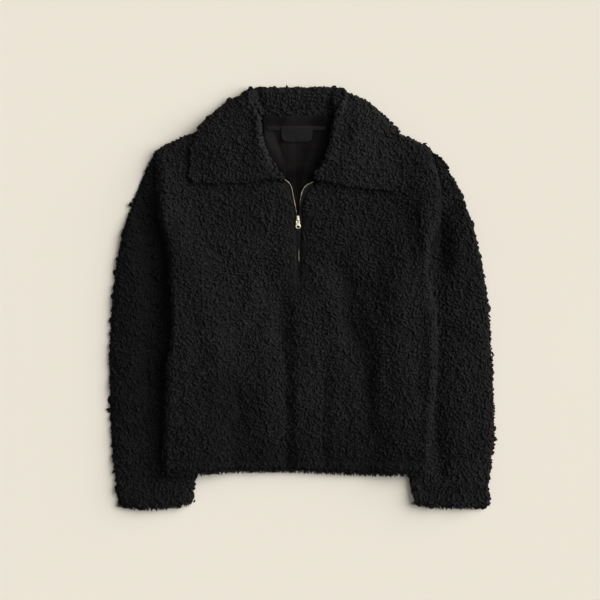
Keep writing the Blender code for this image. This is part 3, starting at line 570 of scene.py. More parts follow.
# creases as x0, y0, x1, y1, half width and height, in mm
creases = {
    "front": [
        (-32, 6, -31, -66, 12, -3.4), (-29, -60, -27, -170, 8, -3.2), (-26, -170, -23, -294, 5.5, -3.2), (-10, -20, -8, -280, 8, 1.4),
        (40, -100, 38, -291, 3.8, -2), (24, -60, 26, -280, 8, 1.2), (56, -100, 56, -270, 8, 1), (60, 48, 78, 12, 14, -4.4),
        (80, 12, 86, -60, 17, -5), (90, -60, 104, -150, 15, -4.6), (106, -150, 114, -206, 10, -4.8), (88, 22, 118, 12, 6, -1.8),
        (112, 4, 118, -60, 6, 1.8), (127, -50, 134, -196, 9, 3.4), (150, 10, 160, -120, 16, 1.6), (132, 50, 133, 46, 7, -2.6),
        (108, 132, 132, 70, 20, -2.8), (150, 120, 176, 60, 16, 1.6), (176, 128, 192, 40, 10, -2), (-222, -65, 60, -64, 2.6, -1.2),
        (70, -66, 205, -68, 2.6, -0.9), (-110, -170, -104, -206, 9, -3.2), (-217, -243, -217, -292, 4.5, -2.4),
        (-214, 60, -217, -200, 7, 2.2), (-232, 226, -229, 120, 8, 2.6), (-234, -200, -234, -290, 4, -1.4), (206, 150, 214, 100, 9, 2.6),
        (212, 90, 216, 20, 8, 3), (214, -30, 218, -150, 7, 3), (212, -160, 210, -280, 7, 2.2), (-150, 40, -120, -40, 14, -1.6),
        (-190, 30, -176, -90, 14, -1.4), (-176, -90, -160, -180, 13, -1.3), (-88, 90, -104, 60, 18, 2.2), (-76, 6, -88, -50, 14, 2.8),
        (-60, -60, -62, -180, 12, 1.2), (166, -20, 176, -120, 14, 2), (118, -230, 176, -262, 16, -2.8), (196, -120, 199, -240, 8, -1.5),
        (70, -170, 74, -250, 9, -1.4), (-140, -190, -80, -262, 14, -1.8), (-60, 120, -86, 160, 11, 1.2), (50, 122, 84, 160, 11, 1.3),
        (12, 60, 40, 20, 10, 1.2),
    ],
    "back": [
        (-120, 200, -60, 30, 12, 1.3), (110, 190, 70, 20, 12, 1.3), (-20, 120, -14, -220, 10, 1.2), (60, -60, 64, -286, 8, 1.4),
        (-90, -90, -84, -288, 9, 1.3), (-180, -66, 170, -64, 4, 0.8),
    ],
    "sleeve_left": [
        (-266, 190, -254, 70, 24, -6.6), (-254, 60, -254, -120, 26, -7.2), (-254, -120, -256, -290, 24, -6.4),
        (-296, 150, -262, 128, 6, -1.4), (-304, 92, -262, 74, 7, -1.5), (-312, 20, -262, 2, 8, -1.5), (-316, -60, -262, -80, 9, -1.6),
        (-318, -120, -270, -132, 6, -1.4), (-316, -190, -262, -204, 9, -1.6), (-316, -262, -220, -276, 8, -1.4),
        (-300, -226, -270, -230, 6, -1.2), (-294, -330, -264, -338, 3, -1.9), (-264, -338, -222, -327, 3, -1.9),
        (-222, -327, -190, -322, 3, -1.7),
    ],
    "sleeve_right": [
        (232, 128, 230, 56, 15, -8.4), (262, 190, 246, 150, 8, -1.5), (270, 110, 266, 50, 9, 1.6), (300, 66, 262, 40, 7, -1.2),
        (230, 10, 231, -60, 10, -3.4), (231, -60, 232, -150, 9, -3.6), (230, -180, 232, -290, 12, -5.2), (314, -10, 262, -30, 9, -1.4),
        (316, -84, 262, -70, 8, -1.3), (318, -150, 262, -164, 7, -1.3), (316, -214, 262, -204, 9, -1.4), (314, -276, 240, -266, 8, -1.4),
        (314, -325, 262, -327, 3, -2), (262, -327, 214, -325, 3, -2), (214, -325, 188, -322, 3, -1.6),
    ],
    "collar": [
        (-150, 206, -150, 262, 8, -1), (-108, 200, -96, 258, 9, -1.2), (120, 196, 128, 252, 9, -1.1), (88, 206, 84, 252, 8, -0.9),
        (-56, 228, -74, 304, 9, 2.4), (74, 214, 92, 300, 14, 3.2), (-176, 200, -176, 270, 18, -2.8), (168, 190, 164, 262, 20, -3),
        (46, 338, 43, 296, 8, -5), (66, 340, 58, 290, 8, 2.6), (-74, 346, -58, 304, 6, -4.2), (-92, 350, -76, 304, 8, 3.2),
    ],
    "lining": [
        (-26, 262, -26.5, 108, 0.9, -0.7), (-9.5, 262, -9.5, 108, 0.9, -0.35), (-60, 272, -34, 216, 7, 1.3),
        (-46, 276, -32, 236, 4, -1.2), (20, 268, 2, 190, 6, 1), (36, 276, 16, 214, 5, -1), (-18, 200, -16, 130, 4, 0.6),
    ],
}
sleeveRound = {     # how far a sleeve's top falls towards its outer edge
    "sleeve_left": {"crest": -258.0, "edge": -322.0, "fall": 6.6, "sink": 1.8},
    "sleeve_right": {"crest": 262.0, "edge": 322.0, "fall": 4.4, "sink": 0.3},
}
edgeShifts = {      # where an edge reaches further sideways: its line, how far, half width, and from which y to which
    "collar": [([(-64, 281), (-63, 258), (-51, 236), (-40, 211), (-30, 197)], -5, 14, 196, 310)],
    "front": [([(-12.5, 135), (-15, 152), (-20, 170), (-28, 187)], 2.6, 7, 130, 200),
              ([(1.5, 135), (3.5, 152), (7, 170), (16, 186)], -3, 7, 130, 200),
              ([(-226, -110), (-231, -200)], -4.5, 12, -250, -60), ([(-238, -250), (-242, -300)], 5, 12, -340, -235)],
    "sleeve_left": [([(-182, -312), (-190, -352)], 2.7, 12, -390, -300), ([(-188, -334), (-194, -354)], 5, 9, -390, -324),
                    ([(-322, 100), (-326, -60), (-322, -200), (-312, -270)], -1.6, 14, -290, 130)],
    "sleeve_right": [([(302, 60), (318, -60), (324, -160), (322, -250)], 3, 15, -290, 120),
                     ([(308, -332), (306, -356)], 8, 14, -400, -318),
                     ([(250, 190), (276, 130), (296, 80)], 3.4, 12, 70, 216), ([(224, 246), (240, 226)], 5, 9, 205, 268)],
}
hemLines = {    # sewn lines: their y, half width and depth, and how far the edge below them is drawn up, in mm
    "front": {"y": -275.0, "half": 4.2, "depth": 1.7, "rise": 2.2},
    "back": {"y": -275.0, "half": 4.2, "depth": 1.4, "rise": 2.2},
}


def buildLayers():
    form, names = layerForm, list(layerLook)
    meshes = {name: finerCopy(name, level) for name, (level, inset) in layerLook.items()}
    print("layers copied:", {name: len(mesh.polygons) for name, mesh in meshes.items()})
    flatParts = [frame["nodes"][n].data for n in ("neck_tape", "label")]
    made = {}
    for name in names:
        mesh = meshes[name]
        points, normals = verticesOf(mesh)
        own = bvhOf([mesh])
        others = bvhOf([meshes[other] for other in names if other != name] + flatParts)
        shares, straight = openShare(points, normals, own, others)
        made[name] = {"mesh": mesh, "points": points, "normals": normals, "open": shares, "straight": straight, "own": own}
    for number, name in enumerate(names):
        layer = made[name]
        mesh, points, normals = layer["mesh"], layer["points"], layer["normals"]
        x, y, z = points.T / mm
        openness = spread(mesh, layer["open"])
        wall = np.array([layer["own"].ray_cast(Vector(p) - Vector(n) * 0.0004, -Vector(n), 0.02)[3] or 0.004
                         for p, n in zip(points, normals)])
        inset = np.minimum(layerLook[name][1] * mm, form["wallShare"] * wall) * smoothStep(0.3, 0.9, openness)
        inset *= smoothStep(0.4, 1.0, spread(mesh, layer["straight"]))
        if name == "front":
            zipSide = distanceTo(points[:, :2] / mm, [(-6, 30), (-6, 160)])
            inset *= form["besideZip"] + (1.0 - form["besideZip"]) * smoothStep(2.0, 13.0, zipSide)
        moved = points - normals * inset[:, None]
        for line, reach, half, low, high in edgeShifts.get(name, ()):
            near = reach * np.exp(-(distanceTo(points[:, :2] / mm, line) / half) ** 2)
            along = smoothStep(low, low + form["edgeFade"], y) * (1.0 - smoothStep(high - form["edgeFade"], high, y))
            moved[:, 0] += near * along * mm
        relief = creaseHeight(points, creases[name], number)
        if name in hemLines:
            line = hemLines[name]
            off = y - line["y"] - 1.5 * np.sin(x / 46.0) - 0.8 * np.sin(x / 13.0)
            relief -= line["depth"] * mm * np.exp(-(off / line["half"]) ** 2)
            moved[:, 1] += line["rise"] * mm * (1.0 - smoothStep(-292.0, -262.0, y))
        if name in sleeveRound:
            bow = sleeveRound[name]
            out = np.clip((x - bow["crest"]) / (bow["edge"] - bow["crest"]), 0.0, 1.2)
            relief -= (bow["sink"] + bow["fall"] * out ** 2) * mm
        clouds = sum(cloudHeight(points, size, height, number + shift) for size, height, shift in form["clouds"])
        if name == "lining":
            clouds *= form["liningClouds"]
        outside = smoothStep(0.1, 0.6, openness) * smoothStep(0.15, 0.6, np.abs(normals[:, 2]))
        if name.startswith("sleeve"):      # the top and what lies under it sink together
            share = smoothStep(1.0, 12.5, z)
        elif name == "back":               # its outside is its underside
            relief, share = np.abs(relief), outside
        else:
            share = np.maximum(outside * (normals[:, 2] > 0), form["innerShare"])
        moved[:, 2] += relief * share + clouds * outside
        moved[:, 2] = np.maximum(moved[:, 2], 0.0)
        layer["base"], layer["openness"] = moved, openness
        setVertices(mesh, moved)
    return made


# curls of pile

curlKinds = {
    # turn and swing in degrees, length, how far it closes in, lift of its middle and of its end, thickness, end thickness, rings
    "comma": (215, 0, 13.0, 0.25, 1.1, 0.0, 1.95, 1.15, 5),
    "crescent": (150, 0, 12.5, 0.0, 1.3, 0.2, 2.00, 1.10, 4),
    "ringlet": (345, 0, 17.0, 0.45, 1.4, 1.0, 1.65, 1.10, 7),
    "twist": (30, 95, 13.5, 0.0, 1.2, 0.0, 1.85, 1.10, 5),
    "hump": (75, 20, 9.0, 0.0, 2.0, 0.0, 2.60, 1.70, 3),
    "knob": (40, 0, 6.0, 0.0, 1.9, 0.0, 3.00, 2.20, 3),
    "tail": (110, 30, 12.0, 0.25, 0.7, 2.2, 1.85, 0.80, 4),
    "loop": (50, 10, 9.5, 0.0, 3.3, 0.0, 1.90, 1.50, 4),
}


def curlPath(turn, swing, length, closing, lift, tipLift, thick, thin, rings):
    steps = rings + 2
    t = np.linspace(0.0, 1.0, steps)
    heading = np.radians(turn) * t + np.radians(swing) * np.sin(math.tau * t)
    stride = length / steps * (1.0 - closing * t)
    path = np.stack([np.cumsum(stride * np.cos(heading)), np.cumsum(stride * np.sin(heading)),
                     lift * np.sin(np.pi * (0.06 + 0.88 * t)) ** 0.8 + tipLift * t ** 2 - 0.2], axis=-1)
    path[:, :2] -= path[:, :2].mean(axis=0)
    width = thin + (thick - thin) * np.sin(np.pi * t) ** 0.7
    return path, width * (1.0 + 0.10 * np.sin(2.7 * np.arange(steps) + turn))


def wormMesh(name, path, width, sides=4, uneven=0.0):
    run = headings(path)
    over = np.cross(run, (0.0, 0.0, 1.0))
    over /= np.linalg.norm(over, axis=1, keepdims=True)
    up = np.cross(over, run)
    along = np.concatenate([[0.0], np.cumsum(np.linalg.norm(np.diff(path, axis=0), axis=1))])
    points, faces, strand = [path[0] - run[0] * width[0] * 0.5], [], [(0.0, 0.0, along[0])]
    for k in range(1, len(path) - 1):
        for s in range(sides):
            a = math.tau * s / sides
            r = width[k] * (1.0 + uneven * noise.noise(Vector((k * 1.3, s * 1.9, len(name) * 2.1 + width[0]))))
            points.append(path[k] + r * (math.cos(a) * over[k] + math.sin(a) * up[k]))
            strand.append((math.cos(a + 0.3 * along[k]), math.sin(a + 0.3 * along[k]), along[k]))
    points.append(path[-1] + run[-1] * width[-1] * 0.5)
    strand.append((0.0, 0.0, along[-1]))
    last = len(points) - 1
    for s in range(sides):
        n = (s + 1) % sides
        faces.append((0, 1 + n, 1 + s))
        for k in range(len(path) - 3):
            a, b = 1 + k * sides, 1 + (k + 1) * sides
            faces.append((a + s, a + n, b + n, b + s))
        faces.append((last, last - sides + s, last - sides + n))
    points = np.array(points) * mm
    made = meshObject(name, points, faces)
    tidyNormals(made.data)
    z = points[:, 2]
    setAttribute(made.data, "rise", np.clip((z - z.min()) / (z.max() - z.min()), 0, 1))
    layer = made.data.attributes.new("strand", "FLOAT_VECTOR", "POINT")
    layer.data.foreach_set("vector", np.array(strand, np.float32).ravel())
    return made


def tidyNormals(mesh, weld=0.0):
    shape = bmesh.new()
    shape.from_mesh(mesh)
    if weld:
        bmesh.ops.remove_doubles(shape, verts=shape.verts, dist=weld)
    bmesh.ops.recalc_face_normals(shape, faces=shape.faces)
    shape.to_mesh(mesh)
    shape.free()


def curlCollection():
    kept = bpy.data.collections.new("curl_kinds")
    bpy.context.scene.collection.children.link(kept)
    for name, kind in curlKinds.items():
        path, width = curlPath(*kind)
        made = wormMesh(name, path, width, uneven=0.30)
        bpy.context.scene.collection.objects.unlink(made)
        kept.objects.link(made)
        mirrored = made.copy()
        mirrored.data = made.data.copy()
        setVertices(mirrored.data, verticesOf(mirrored.data)[0] * (-1.0, 1.0, 1.0))
        mirrored.data.flip_normals()
        mirrored.name = name + "_turned"
        kept.objects.link(mirrored)
    return kept


scatterForm = {     # most points in a square of the spacing, how deep roots may sink, and how far their rows swirl
    "most": 8.0, "leastMask": 0.04, "deepest": -1.6, "clumpEdge": (0.02, 0.24), "evenTone": 0.6, "swirl": 22.0, "loftWidth": 0.45,
}


# what both geometry trees take up

def storedOn(geometry, name, value, kind="FLOAT", domain="POINT"):
    return addNode(geometry.tree, "GeometryNodeStoreNamedAttribute", {"Geometry": geometry, "Name": name, "Value": value},
                   data_type=kind, domain=domain)


def chance(tree, low, high, seed, kind="FLOAT"):
    first, result = {"FLOAT": (2, 1), "FLOAT_VECTOR": (0, 0), "INT": (4, 2)}[kind]
    return addNode(tree, "FunctionNodeRandomValue", {first: low, first + 1: high, 8: seed}, data_type=kind)[result]


def turnedBy(rotation, angles):
    euler = addNode(rotation.tree, "FunctionNodeEulerToRotation", {0: angles})
    return addNode(rotation.tree, "FunctionNodeRotateRotation", {0: rotation, 1: euler}, rotation_space="LOCAL")


def realized(instances):
    return addNode(instances.tree, "GeometryNodeRealizeInstances", {"Geometry": instances})


def finishTree(geometry, finish, end):
    feed(end["Geometry"], addNode(geometry.tree, "GeometryNodeSetMaterial", {"Geometry": geometry, "Material": finish}))
    return geometry.tree


def curlTree():
    given, end = newGroup("scatter_curls", "GeometryNodeTree", {
        "Geometry": "Geometry", "Curls": "Collection", "Mask": "String", "Spacing": 0.005, "Smallest": 0.85, "Largest": 1.2,
        "Tall": 1.0, "Lean": 0.3, "Lock Scale": 30.0, "Stray": 3.0, "Sunk": 0.0008, "Clump": 0.009,
        "Crack": 0.001, "Crack Tone": 0.3, "Seed": 1, "Finish": "Material"}, {"Geometry": "Geometry"})
    tree, gap, seed, lean, sunk = given.tree, given["Spacing"], given["Seed"], given["Lean"], given["Sunk"]
    form = scatterForm
    mask, loft, size, placeShadeAndTone, crackShadeTone = (
        addNode(tree, "GeometryNodeInputNamedAttribute", {"Name": name}, data_type="FLOAT")
        for name in (given["Mask"], "loft", "size", "tone", "crack"))
    bearing = addNode(tree, "GeometryNodeSeparateGeometry", {
        "Geometry": given["Geometry"], "Selection": mask.sums("GREATER_THAN", mask, form["leastMask"])}, domain="FACE")
    spots = addNode(tree, "GeometryNodeDistributePointsOnFaces", {
        "Mesh": bearing, "Distance Min": gap, "Density Max": form["most"] / (gap * gap), "Density Factor": mask, "Seed": seed},
        distribute_method="POISSON")
    spot = addNode(tree, "GeometryNodeInputPosition")
    # roots lie deeper between the clumps; shade is painted darker on curls there and paler on clump middles
    cells = addNode(tree, "ShaderNodeTexVoronoi", {"Vector": spot, "Scale": 1.0 / given["Clump"]}, feature="DISTANCE_TO_EDGE")
    inside = ranged(cells, *form["clumpEdge"], 0.0, 1.0)
    depth = chance(tree, sunk * form["deepest"], sunk, seed + 5.0) - (1.0 - inside) * given["Crack"]
    push = vectorSum("SCALE", spots["Normal"], Scale=depth)
    marked = storedOn(spots["Points"], "crack", (inside - form["evenTone"]) * given["Crack Tone"])
    laid = storedOn(marked, "lay", spots["Normal"], "FLOAT_VECTOR")
    rooted = addNode(tree, "GeometryNodeSetPosition", {"Geometry": laid, "Offset": push})
    # each curl leans a little, and turns with its neighbours and some way off them
    lowest, highest = vectorOf(tree, lean * -1.0, lean * -1.0, 0.0), vectorOf(tree, lean, lean, given["Stray"])
    turn = partsOf(chance(tree, lowest, highest, seed, "FLOAT_VECTOR"))
    course = noiseOf(spot, given["Lock Scale"], 0.0) * form["swirl"] + turn[2]
    aim = turnedBy(spots["Rotation"], vectorOf(tree, turn[0], turn[1], course))
    size = size * chance(tree, given["Smallest"], given["Largest"], seed + 3.0)
    wide = size * (loft * form["loftWidth"] + (1.0 - form["loftWidth"]))
    kinds = addNode(tree, "GeometryNodeCollectionInfo", {
        "Collection": given["Curls"], "Separate Children": True, "Reset Children": True})
    placed = addNode(tree, "GeometryNodeInstanceOnPoints", {
        "Points": rooted, "Instance": kinds, "Pick Instance": True, "Rotation": aim,
        "Instance Index": chance(tree, 0, 2 * len(curlKinds) - 1, seed + 7.0, "INT"),
        "Scale": vectorOf(tree, wide, wide, size * loft * given["Tall"])})
    # each curl's tone: random, plus the painted shade and light of its place and the painted shade of the cracks
    tone = chance(tree, 0.0, 1.0, seed + 11.0) + (placeShadeAndTone + crackShadeTone)
    real = realized(storedOn(placed, "tone", tone, domain="INSTANCE"))
    where = partsOf(spot)
    # nothing goes below the floor
    held = vectorOf(tree, where[0], where[1], where.sums("MAXIMUM", where[2], 0.0))
    return finishTree(addNode(tree, "GeometryNodeSetPosition", {"Geometry": real, "Position": held}), given["Finish"], end)


def rowTree():
    given, end = newGroup("repeat_along_line", "GeometryNodeTree", {
        "Geometry": "Geometry", "Part": "Object", "Pitch": 0.0016, "Uneven": 0.0, "Seed": 1, "Finish": "Material"},
        {"Geometry": "Geometry"})
    tree, uneven = given.tree, given["Uneven"]
    line = addNode(tree, "GeometryNodeMeshToCurve", {"Mesh": given["Geometry"]})
    spots = addNode(tree, "GeometryNodeResampleCurve", {"Curve": line, "Length": given["Pitch"]}, mode="LENGTH")
    run = addNode(tree, "GeometryNodeInputTangent")
    aim = addNode(tree, "FunctionNodeAlignRotationToVector", {"Vector": run}, axis="X", pivot_axis="Z")
    wobble = chance(tree, uneven * -1.0, uneven, given["Seed"])
    part = addNode(tree, "GeometryNodeObjectInfo", {"Object": given["Part"], "As Instance": True})["Geometry"]
    placed = addNode(tree, "GeometryNodeInstanceOnPoints", {
        "Points": spots, "Instance": part, "Rotation": turnedBy(aim, vectorOf(tree, 0.0, 0.0, wobble))})
    return finishTree(realized(placed), given["Finish"], end)


def runTree(host, tree, name, finish, values):
    change = host.modifiers.new("nodes", "NODES")
    change.node_group = tree
    values = {**values, "Finish": finish}
    for item in tree.interface.items_tree:
        if item.in_out == "INPUT" and item.name in values:
            change[item.identifier] = values[item.name]
    mesh = evaluatedMesh(host, name)
    host.modifiers.remove(change)
    kept = ("tone", "rise", "strand", "lay", "position", "sharp_face", "material_index")
    dropLayers(mesh, [a.name for a in mesh.attributes if a.name not in kept and not a.name.startswith(".")])
    mesh.shade_smooth()
    mesh.materials.clear()
    mesh.materials.append(finish)
    return newObject(name, mesh)


pile = {
    "spacing": 3.9, "underSpacing": 8.4, "smallest": 0.72, "largest": 1.22, "tall": 0.78, "lean": 0.34, "sunk": 0.8,
    "lockScale": 34.0, "stray": 6.28, "clump": 6.4, "crack": 0.8, "crackTone": 0.35,
    "besideZip": 0.5, "zipFade": (6.0, 26.0), "rollLoft": 1.25, "rollSize": 1.25, "rollHalf": 11.0, "underLoft": 0.8,
    "hemFlat": 0.4, "hemHalf": 5.0, "middle": -8.0, "rim": (206, 212), "thinnest": 0.3,
}
# shade and light painted into the tone of the pile and lining, darker or paler by place: x, y, half width, half length,
# change
paintedShadeAndLight = {
    "front": [
        (-20, -275, 280, 70, -1.2), (-214, 70, 24, 100, -0.9), (-160, 40, 40, 60, -0.3), (-212, -110, 30, 90, -0.55),
        (-200, 190, 24, 60, 0.25), (-106, 84, 34, 36, 0.5), (-90, -10, 24, 40, 0.6), (-4, 84, 16, 34, 0.5), (180, 158, 44, 36, -0.6),
        (118, 84, 30, 40, -0.25), (214, 84, 9, 50, 0.6), (206, 172, 12, 44, 0.45), (222, -80, 6, 110, -0.2), (166, -60, 26, 60, 0.1),
        (-120, -180, 56, 60, -1.55), (40, 90, 60, 50, -0.2), (96, -20, 26, 50, -0.2), (60, -60, 30, 40, -0.1), (150, -190, 40, 40, -0.3),
        (-40, -160, 30, 40, 0.2),
    ],
    "back": [],
    "sleeve_left": [(-290, 0, 90, 500, -1.6), (-246, -60, 30, 260, -0.95), (-322, 60, 7, 260, 0.5)],
    "sleeve_right": [(244, 84, 18, 50, -0.7), (270, 60, 40, 90, -0.3), (316, 60, 12, 260, 0.45), (236, -230, 16, 60, -0.4),
                     (262, 190, 20, 40, 0.4)],
    "collar": [
        (108, 236, 62, 70, 1.5), (4, 336, 70, 22, 0.55), (-58, 276, 20, 60, 0.8), (-66, 262, 9, 70, 0.9), (-128, 240, 60, 50, 0.35),
        (-188, 226, 12, 44, -0.5), (40, 190, 120, 9, 0.25), (44, 316, 12, 26, -1.6), (66, 300, 10, 60, 0.6),
    ],
    "lining": [
        (-54, 248, 17, 40, 0.95), (-50, 282, 14, 8, 0.1), (20, 250, 22, 40, -0.55), (36, 262, 14, 60, -0.95), (-8, 190, 34, 26, -1.3),
        (-35, 266, 4, 9, -1.2), (-8, 160, 20, 40, -1.6), (-20, 262, 22, 3, -0.5), (42, 290, 14, 24, -1.2), (-10, 297, 60, 5, -0.15),
    ],
}
rollEdges = [
    [(-90, 350), (-80, 310), (-68, 281), (-67, 258), (-55, 236), (-44, 211), (-32, 197)],
    [(62, 335), (55, 303), (50, 276), (48, 252), (38, 222), (22, 197)],
]


napClouds = [(26.0, 0.45, 3.0), (11.0, 0.30, 8.0)]
zipSpan = {     # where the pile lies low along the closed zip, and where it leaves the slider bare
    "x": -6.0, "foot": 20.0, "head": 132.0, "bareHalf": 9.0, "bareFoot": 110.0, "bareHead": 152.0,
}


# painted shade and light from the table above, plus random tone clouds
def shadeAndLightOver(name, points):
    x, y = points[:, 0] / mm, points[:, 1] / mm
    total = np.zeros(len(points))
    for x0, y0, wide, long, change in paintedShadeAndLight[name]:
        total += change * np.exp(-((x - x0) / wide) ** 2 - ((y - y0) / long) ** 2)
    return total + sum(cloudHeight(points, *cloud) for cloud in napClouds) / mm


def pileMasks(name, layer):
    flat = layer["base"][:, :2] / mm
    x, y = flat.T
    faceUp = layer["normals"][:, 2]
    standing = smoothStep(0.25, 0.7, layer["openness"])
    loft, size = np.ones(len(flat)), np.ones(len(flat))
    under = smoothStep(-0.60, -0.85, faceUp)
    if name in ("front", "back"):
        # the side edges stay covered beside the sleeves
        rim = smoothStep(*pile["rim"], np.abs(x - pile["middle"])) * smoothStep(-0.7, -0.3, faceUp)
        standing = np.maximum(standing, rim)
        zipSide = distanceTo(flat, [(zipSpan["x"], zipSpan["foot"]), (zipSpan["x"], zipSpan["head"])])
        loft *= pile["besideZip"] + (1.0 - pile["besideZip"]) * smoothStep(*pile["zipFade"], zipSide)
        standing[(np.abs(x - zipSpan["x"]) < zipSpan["bareHalf"]) & (y > zipSpan["bareFoot"]) & (y < zipSpan["bareHead"])] = 0.0
        loft *= 1.0 - pile["hemFlat"] * np.exp(-((y - hemLines["front"]["y"]) / pile["hemHalf"]) ** 2)
    if name == "front":
        standing *= smoothStep(-0.75, -0.2, faceUp)
    if name == "collar":
        for line in rollEdges:
            near = np.exp(-(distanceTo(flat, line) / pile["rollHalf"]) ** 2)
            loft *= 1.0 + (pile["rollLoft"] - 1.0) * near
            size *= 1.0 + (pile["rollSize"] - 1.0) * near
    loft *= 1.0 + (pile["underLoft"] - 1.0) * under
    return standing * (1.0 - under), standing * under, loft, size


layers = buildLayers()
print("layers shaped")
curls, scatter, rows = curlCollection(), curlTree(), rowTree()
fleecePieces, curlPieces = {}, {}


def growPile(shell, name, gap, seed, **cracks):
    smallest, largest = (pile[key] * gap / pile["spacing"] for key in ("smallest", "largest"))
    made = runTree(shell, scatter, name, finishes["fleece"], {
        "Curls": curls, "Mask": "mask", "Spacing": gap * mm, "Smallest": smallest, "Largest": largest, "Tall": pile["tall"],
        "Lean": pile["lean"], "Sunk": pile["sunk"] * mm, "Lock Scale": pile["lockScale"], "Stray": pile["stray"],
        "Seed": seed, **cracks})
    print(made.name, "triangles", trianglesOf(made))
    return made


for number, name in enumerate(("front", "back", "sleeve_left", "sleeve_right", "collar")):
    layer = layers[name]
    mesh = layer["mesh"]
    top, under, loft, size = pileMasks(name, layer)
    # the tone carries painted shade and light, plus random tone, to the ground and its curls
    for key, values in (("loft", loft), ("size", size), ("tone", shadeAndLightOver(name, layer["base"]))):
        setAttribute(mesh, key, values)
    mesh.materials.append(finishes["ground"])
    shell = fleecePieces[name] = newObject(name + "_fleece", mesh)
    left = layer["base"][:, 0] / mm < zipSpan["x"]
    halves = {"": top} if name != "front" else {"_left": top * left, "_right": top * ~left}
    parts = [("pile" + half, mask, pile["spacing"]) for half, mask in halves.items()]
    parts.append(("under_pile", under, pile["underSpacing"]))
    curlPieces[name] = []
    for step, (label, mask, gap) in enumerate(parts):
        if mask.max() < pile["thinnest"]:
            continue
        setAttribute(mesh, "mask", mask)
        cracks = {"Clump": pile["clump"] * mm, "Crack": pile["crack"] * mm, "Crack Tone": pile["crackTone"]}
        curlPieces[name].append(growPile(shell, name + "_" + label, gap, 10 * number + step, **cracks))
    dropLayers(mesh, ("mask", "loft", "size"))


# the seams of the armholes, which close the sleeves to the raised edge of the body

armholes = {
    "left": [(-246.6, 246), (-245, 207), (-242, 176), (-239, 139), (-232, 109), (-225, 77), (-221.5, 60)],
    "right": [(208, 259), (220.5, 244), (230.5, 215), (233.6, 186), (231.6, 136), (223.6, 109), (215.6, 89), (212, 62)],
    "under": 2.0, "half": 4.6, "overlap": 1.6, "lowest": 0.6, "around": 12, "usualTop": 9.0, "usualCap": 12.0, "clear": 1.5,
    "looksAt": (4.0, 7.0, 10.0), "capAt": 6.0, "spacing": 4.6, "loft": 0.7, "size": 0.85, "tone": -0.35,
}


def buildSeam(side):
    form = armholes
    line = smoothLine(form[side], 4.0)
    inward = 1.0 if side == "left" else -1.0
    body = bvhOf([layers["back"]["mesh"]])
    near = [bvhOf([layers[n]["mesh"] for n in ("front", "sleeve_" + side)])]
    tops = []
    for x, y in line:
        hits = [body.ray_cast(Vector(((x + inward * step) * mm, y * mm, -0.01)), Vector((0, 0, 1)))[0] for step in form["looksAt"]]
        hits = [h.z / mm + form["overlap"] for h in hits if h is not None]
        cap = heightOver(near, x + inward * form["capAt"], y) or form["usualCap"]
        tops.append(min(max(hits, default=form["usualTop"]), cap - form["clear"]))
    tops = np.convolve(np.pad(tops, 2, "edge"), np.ones(5) / 5, "valid")
    points = []
    for k, ((x, y), (runX, runY), top) in enumerate(zip(line, headings(line), tops)):
        ends = math.sin(math.pi * min(max(k / (len(line) - 1), 0.03), 0.97)) ** 0.35
        tall, middle = 0.5 * (top - form["lowest"]) * ends, 0.5 * (top + form["lowest"])
        half = form["half"] * ends * (1.0 + 0.06 * math.sin(1.7 * k))
        for s in range(form["around"]):
            a = math.tau * s / form["around"]
            aside, rise = (abs(share) ** 0.8 * math.copysign(1, share) for share in (math.cos(a), math.sin(a)))
            points.append((x + inward * form["under"] + half * aside * runY, y - half * aside * runX, middle + tall * rise))
    made = meshObject("armhole_seam_" + side, np.array(points) * mm, tubeFaces(len(line), form["around"]), finishes["ground"])
    tidyNormals(made.data)
    return made


def curlsOnSeam(seam, seed):
    normals = verticesOf(seam.data)[1]
    # the seam's curls take a lower tone: painted shade for the recess between body and sleeve
    for key in ("loft", "size", "tone"):
        setAttribute(seam.data, key, np.full(len(normals), armholes[key]))
    setAttribute(seam.data, "mask", 1.0 - smoothStep(0.55, 0.9, np.abs(normals[:, 2])))
    made = growPile(seam, seam.name + "_curls", armholes["spacing"], seed)
    dropLayers(seam.data, ("mask", "loft", "size"))
    return made


seams = [buildSeam(side) for side in ("left", "right")]
seams += [curlsOnSeam(seam, 70 + number) for number, seam in enumerate(seams)]
for made in list(curls.objects):
    bpy.data.objects.remove(made)
bpy.data.collections.remove(curls)

lining = newObject("neck_lining", layers["lining"]["mesh"])
lining.data.materials.append(finishes["lining"])
# painted shade and light in the lining's tone
setAttribute(lining.data, "tone", shadeAndLightOver("lining", layers["lining"]["base"]) * 0.5)


# what repeats along a line: tufts, zip teeth and stitches

def repeatAlong(name, lines, part, pitch, uneven, finish, seed=1):
    points, edges = [], []
    for line in lines:
        start = len(points)
        points += [tuple(np.asarray(p, float) * mm) for p in line]
        edges += [(start + i, start + i + 1) for i in range(len(line) - 1)]
    mesh = bpy.data.meshes.new(name + "_line")
    mesh.from_pydata(points, edges, [])
    host = newObject(name + "_line", mesh)
    made = runTree(host, rows, name, finish, {"Part": part, "Pitch": pitch * mm, "Uneven": uneven, "Seed": seed})
    bpy.data.objects.remove(host)
    bpy.data.objects.remove(part)
    return made


stitchLook = {      # the rows run at these heights, from x to x
    "length": 2.1, "thick": 0.2, "pitch": 2.7, "uneven": 0.06, "rows": (282.3, 286.7), "from": -56, "to": 40,
}


def stitchPart():
    t, thick = np.linspace(-0.5, 0.5, 5), stitchLook["thick"]
    path = np.stack([t * stitchLook["length"], 0.0 * t, thick * (0.6 - 2.4 * t * t)], axis=-1)
    return wormMesh("stitch", path, thick * np.array([0.5, 0.9, 1.0, 0.9, 0.5]))


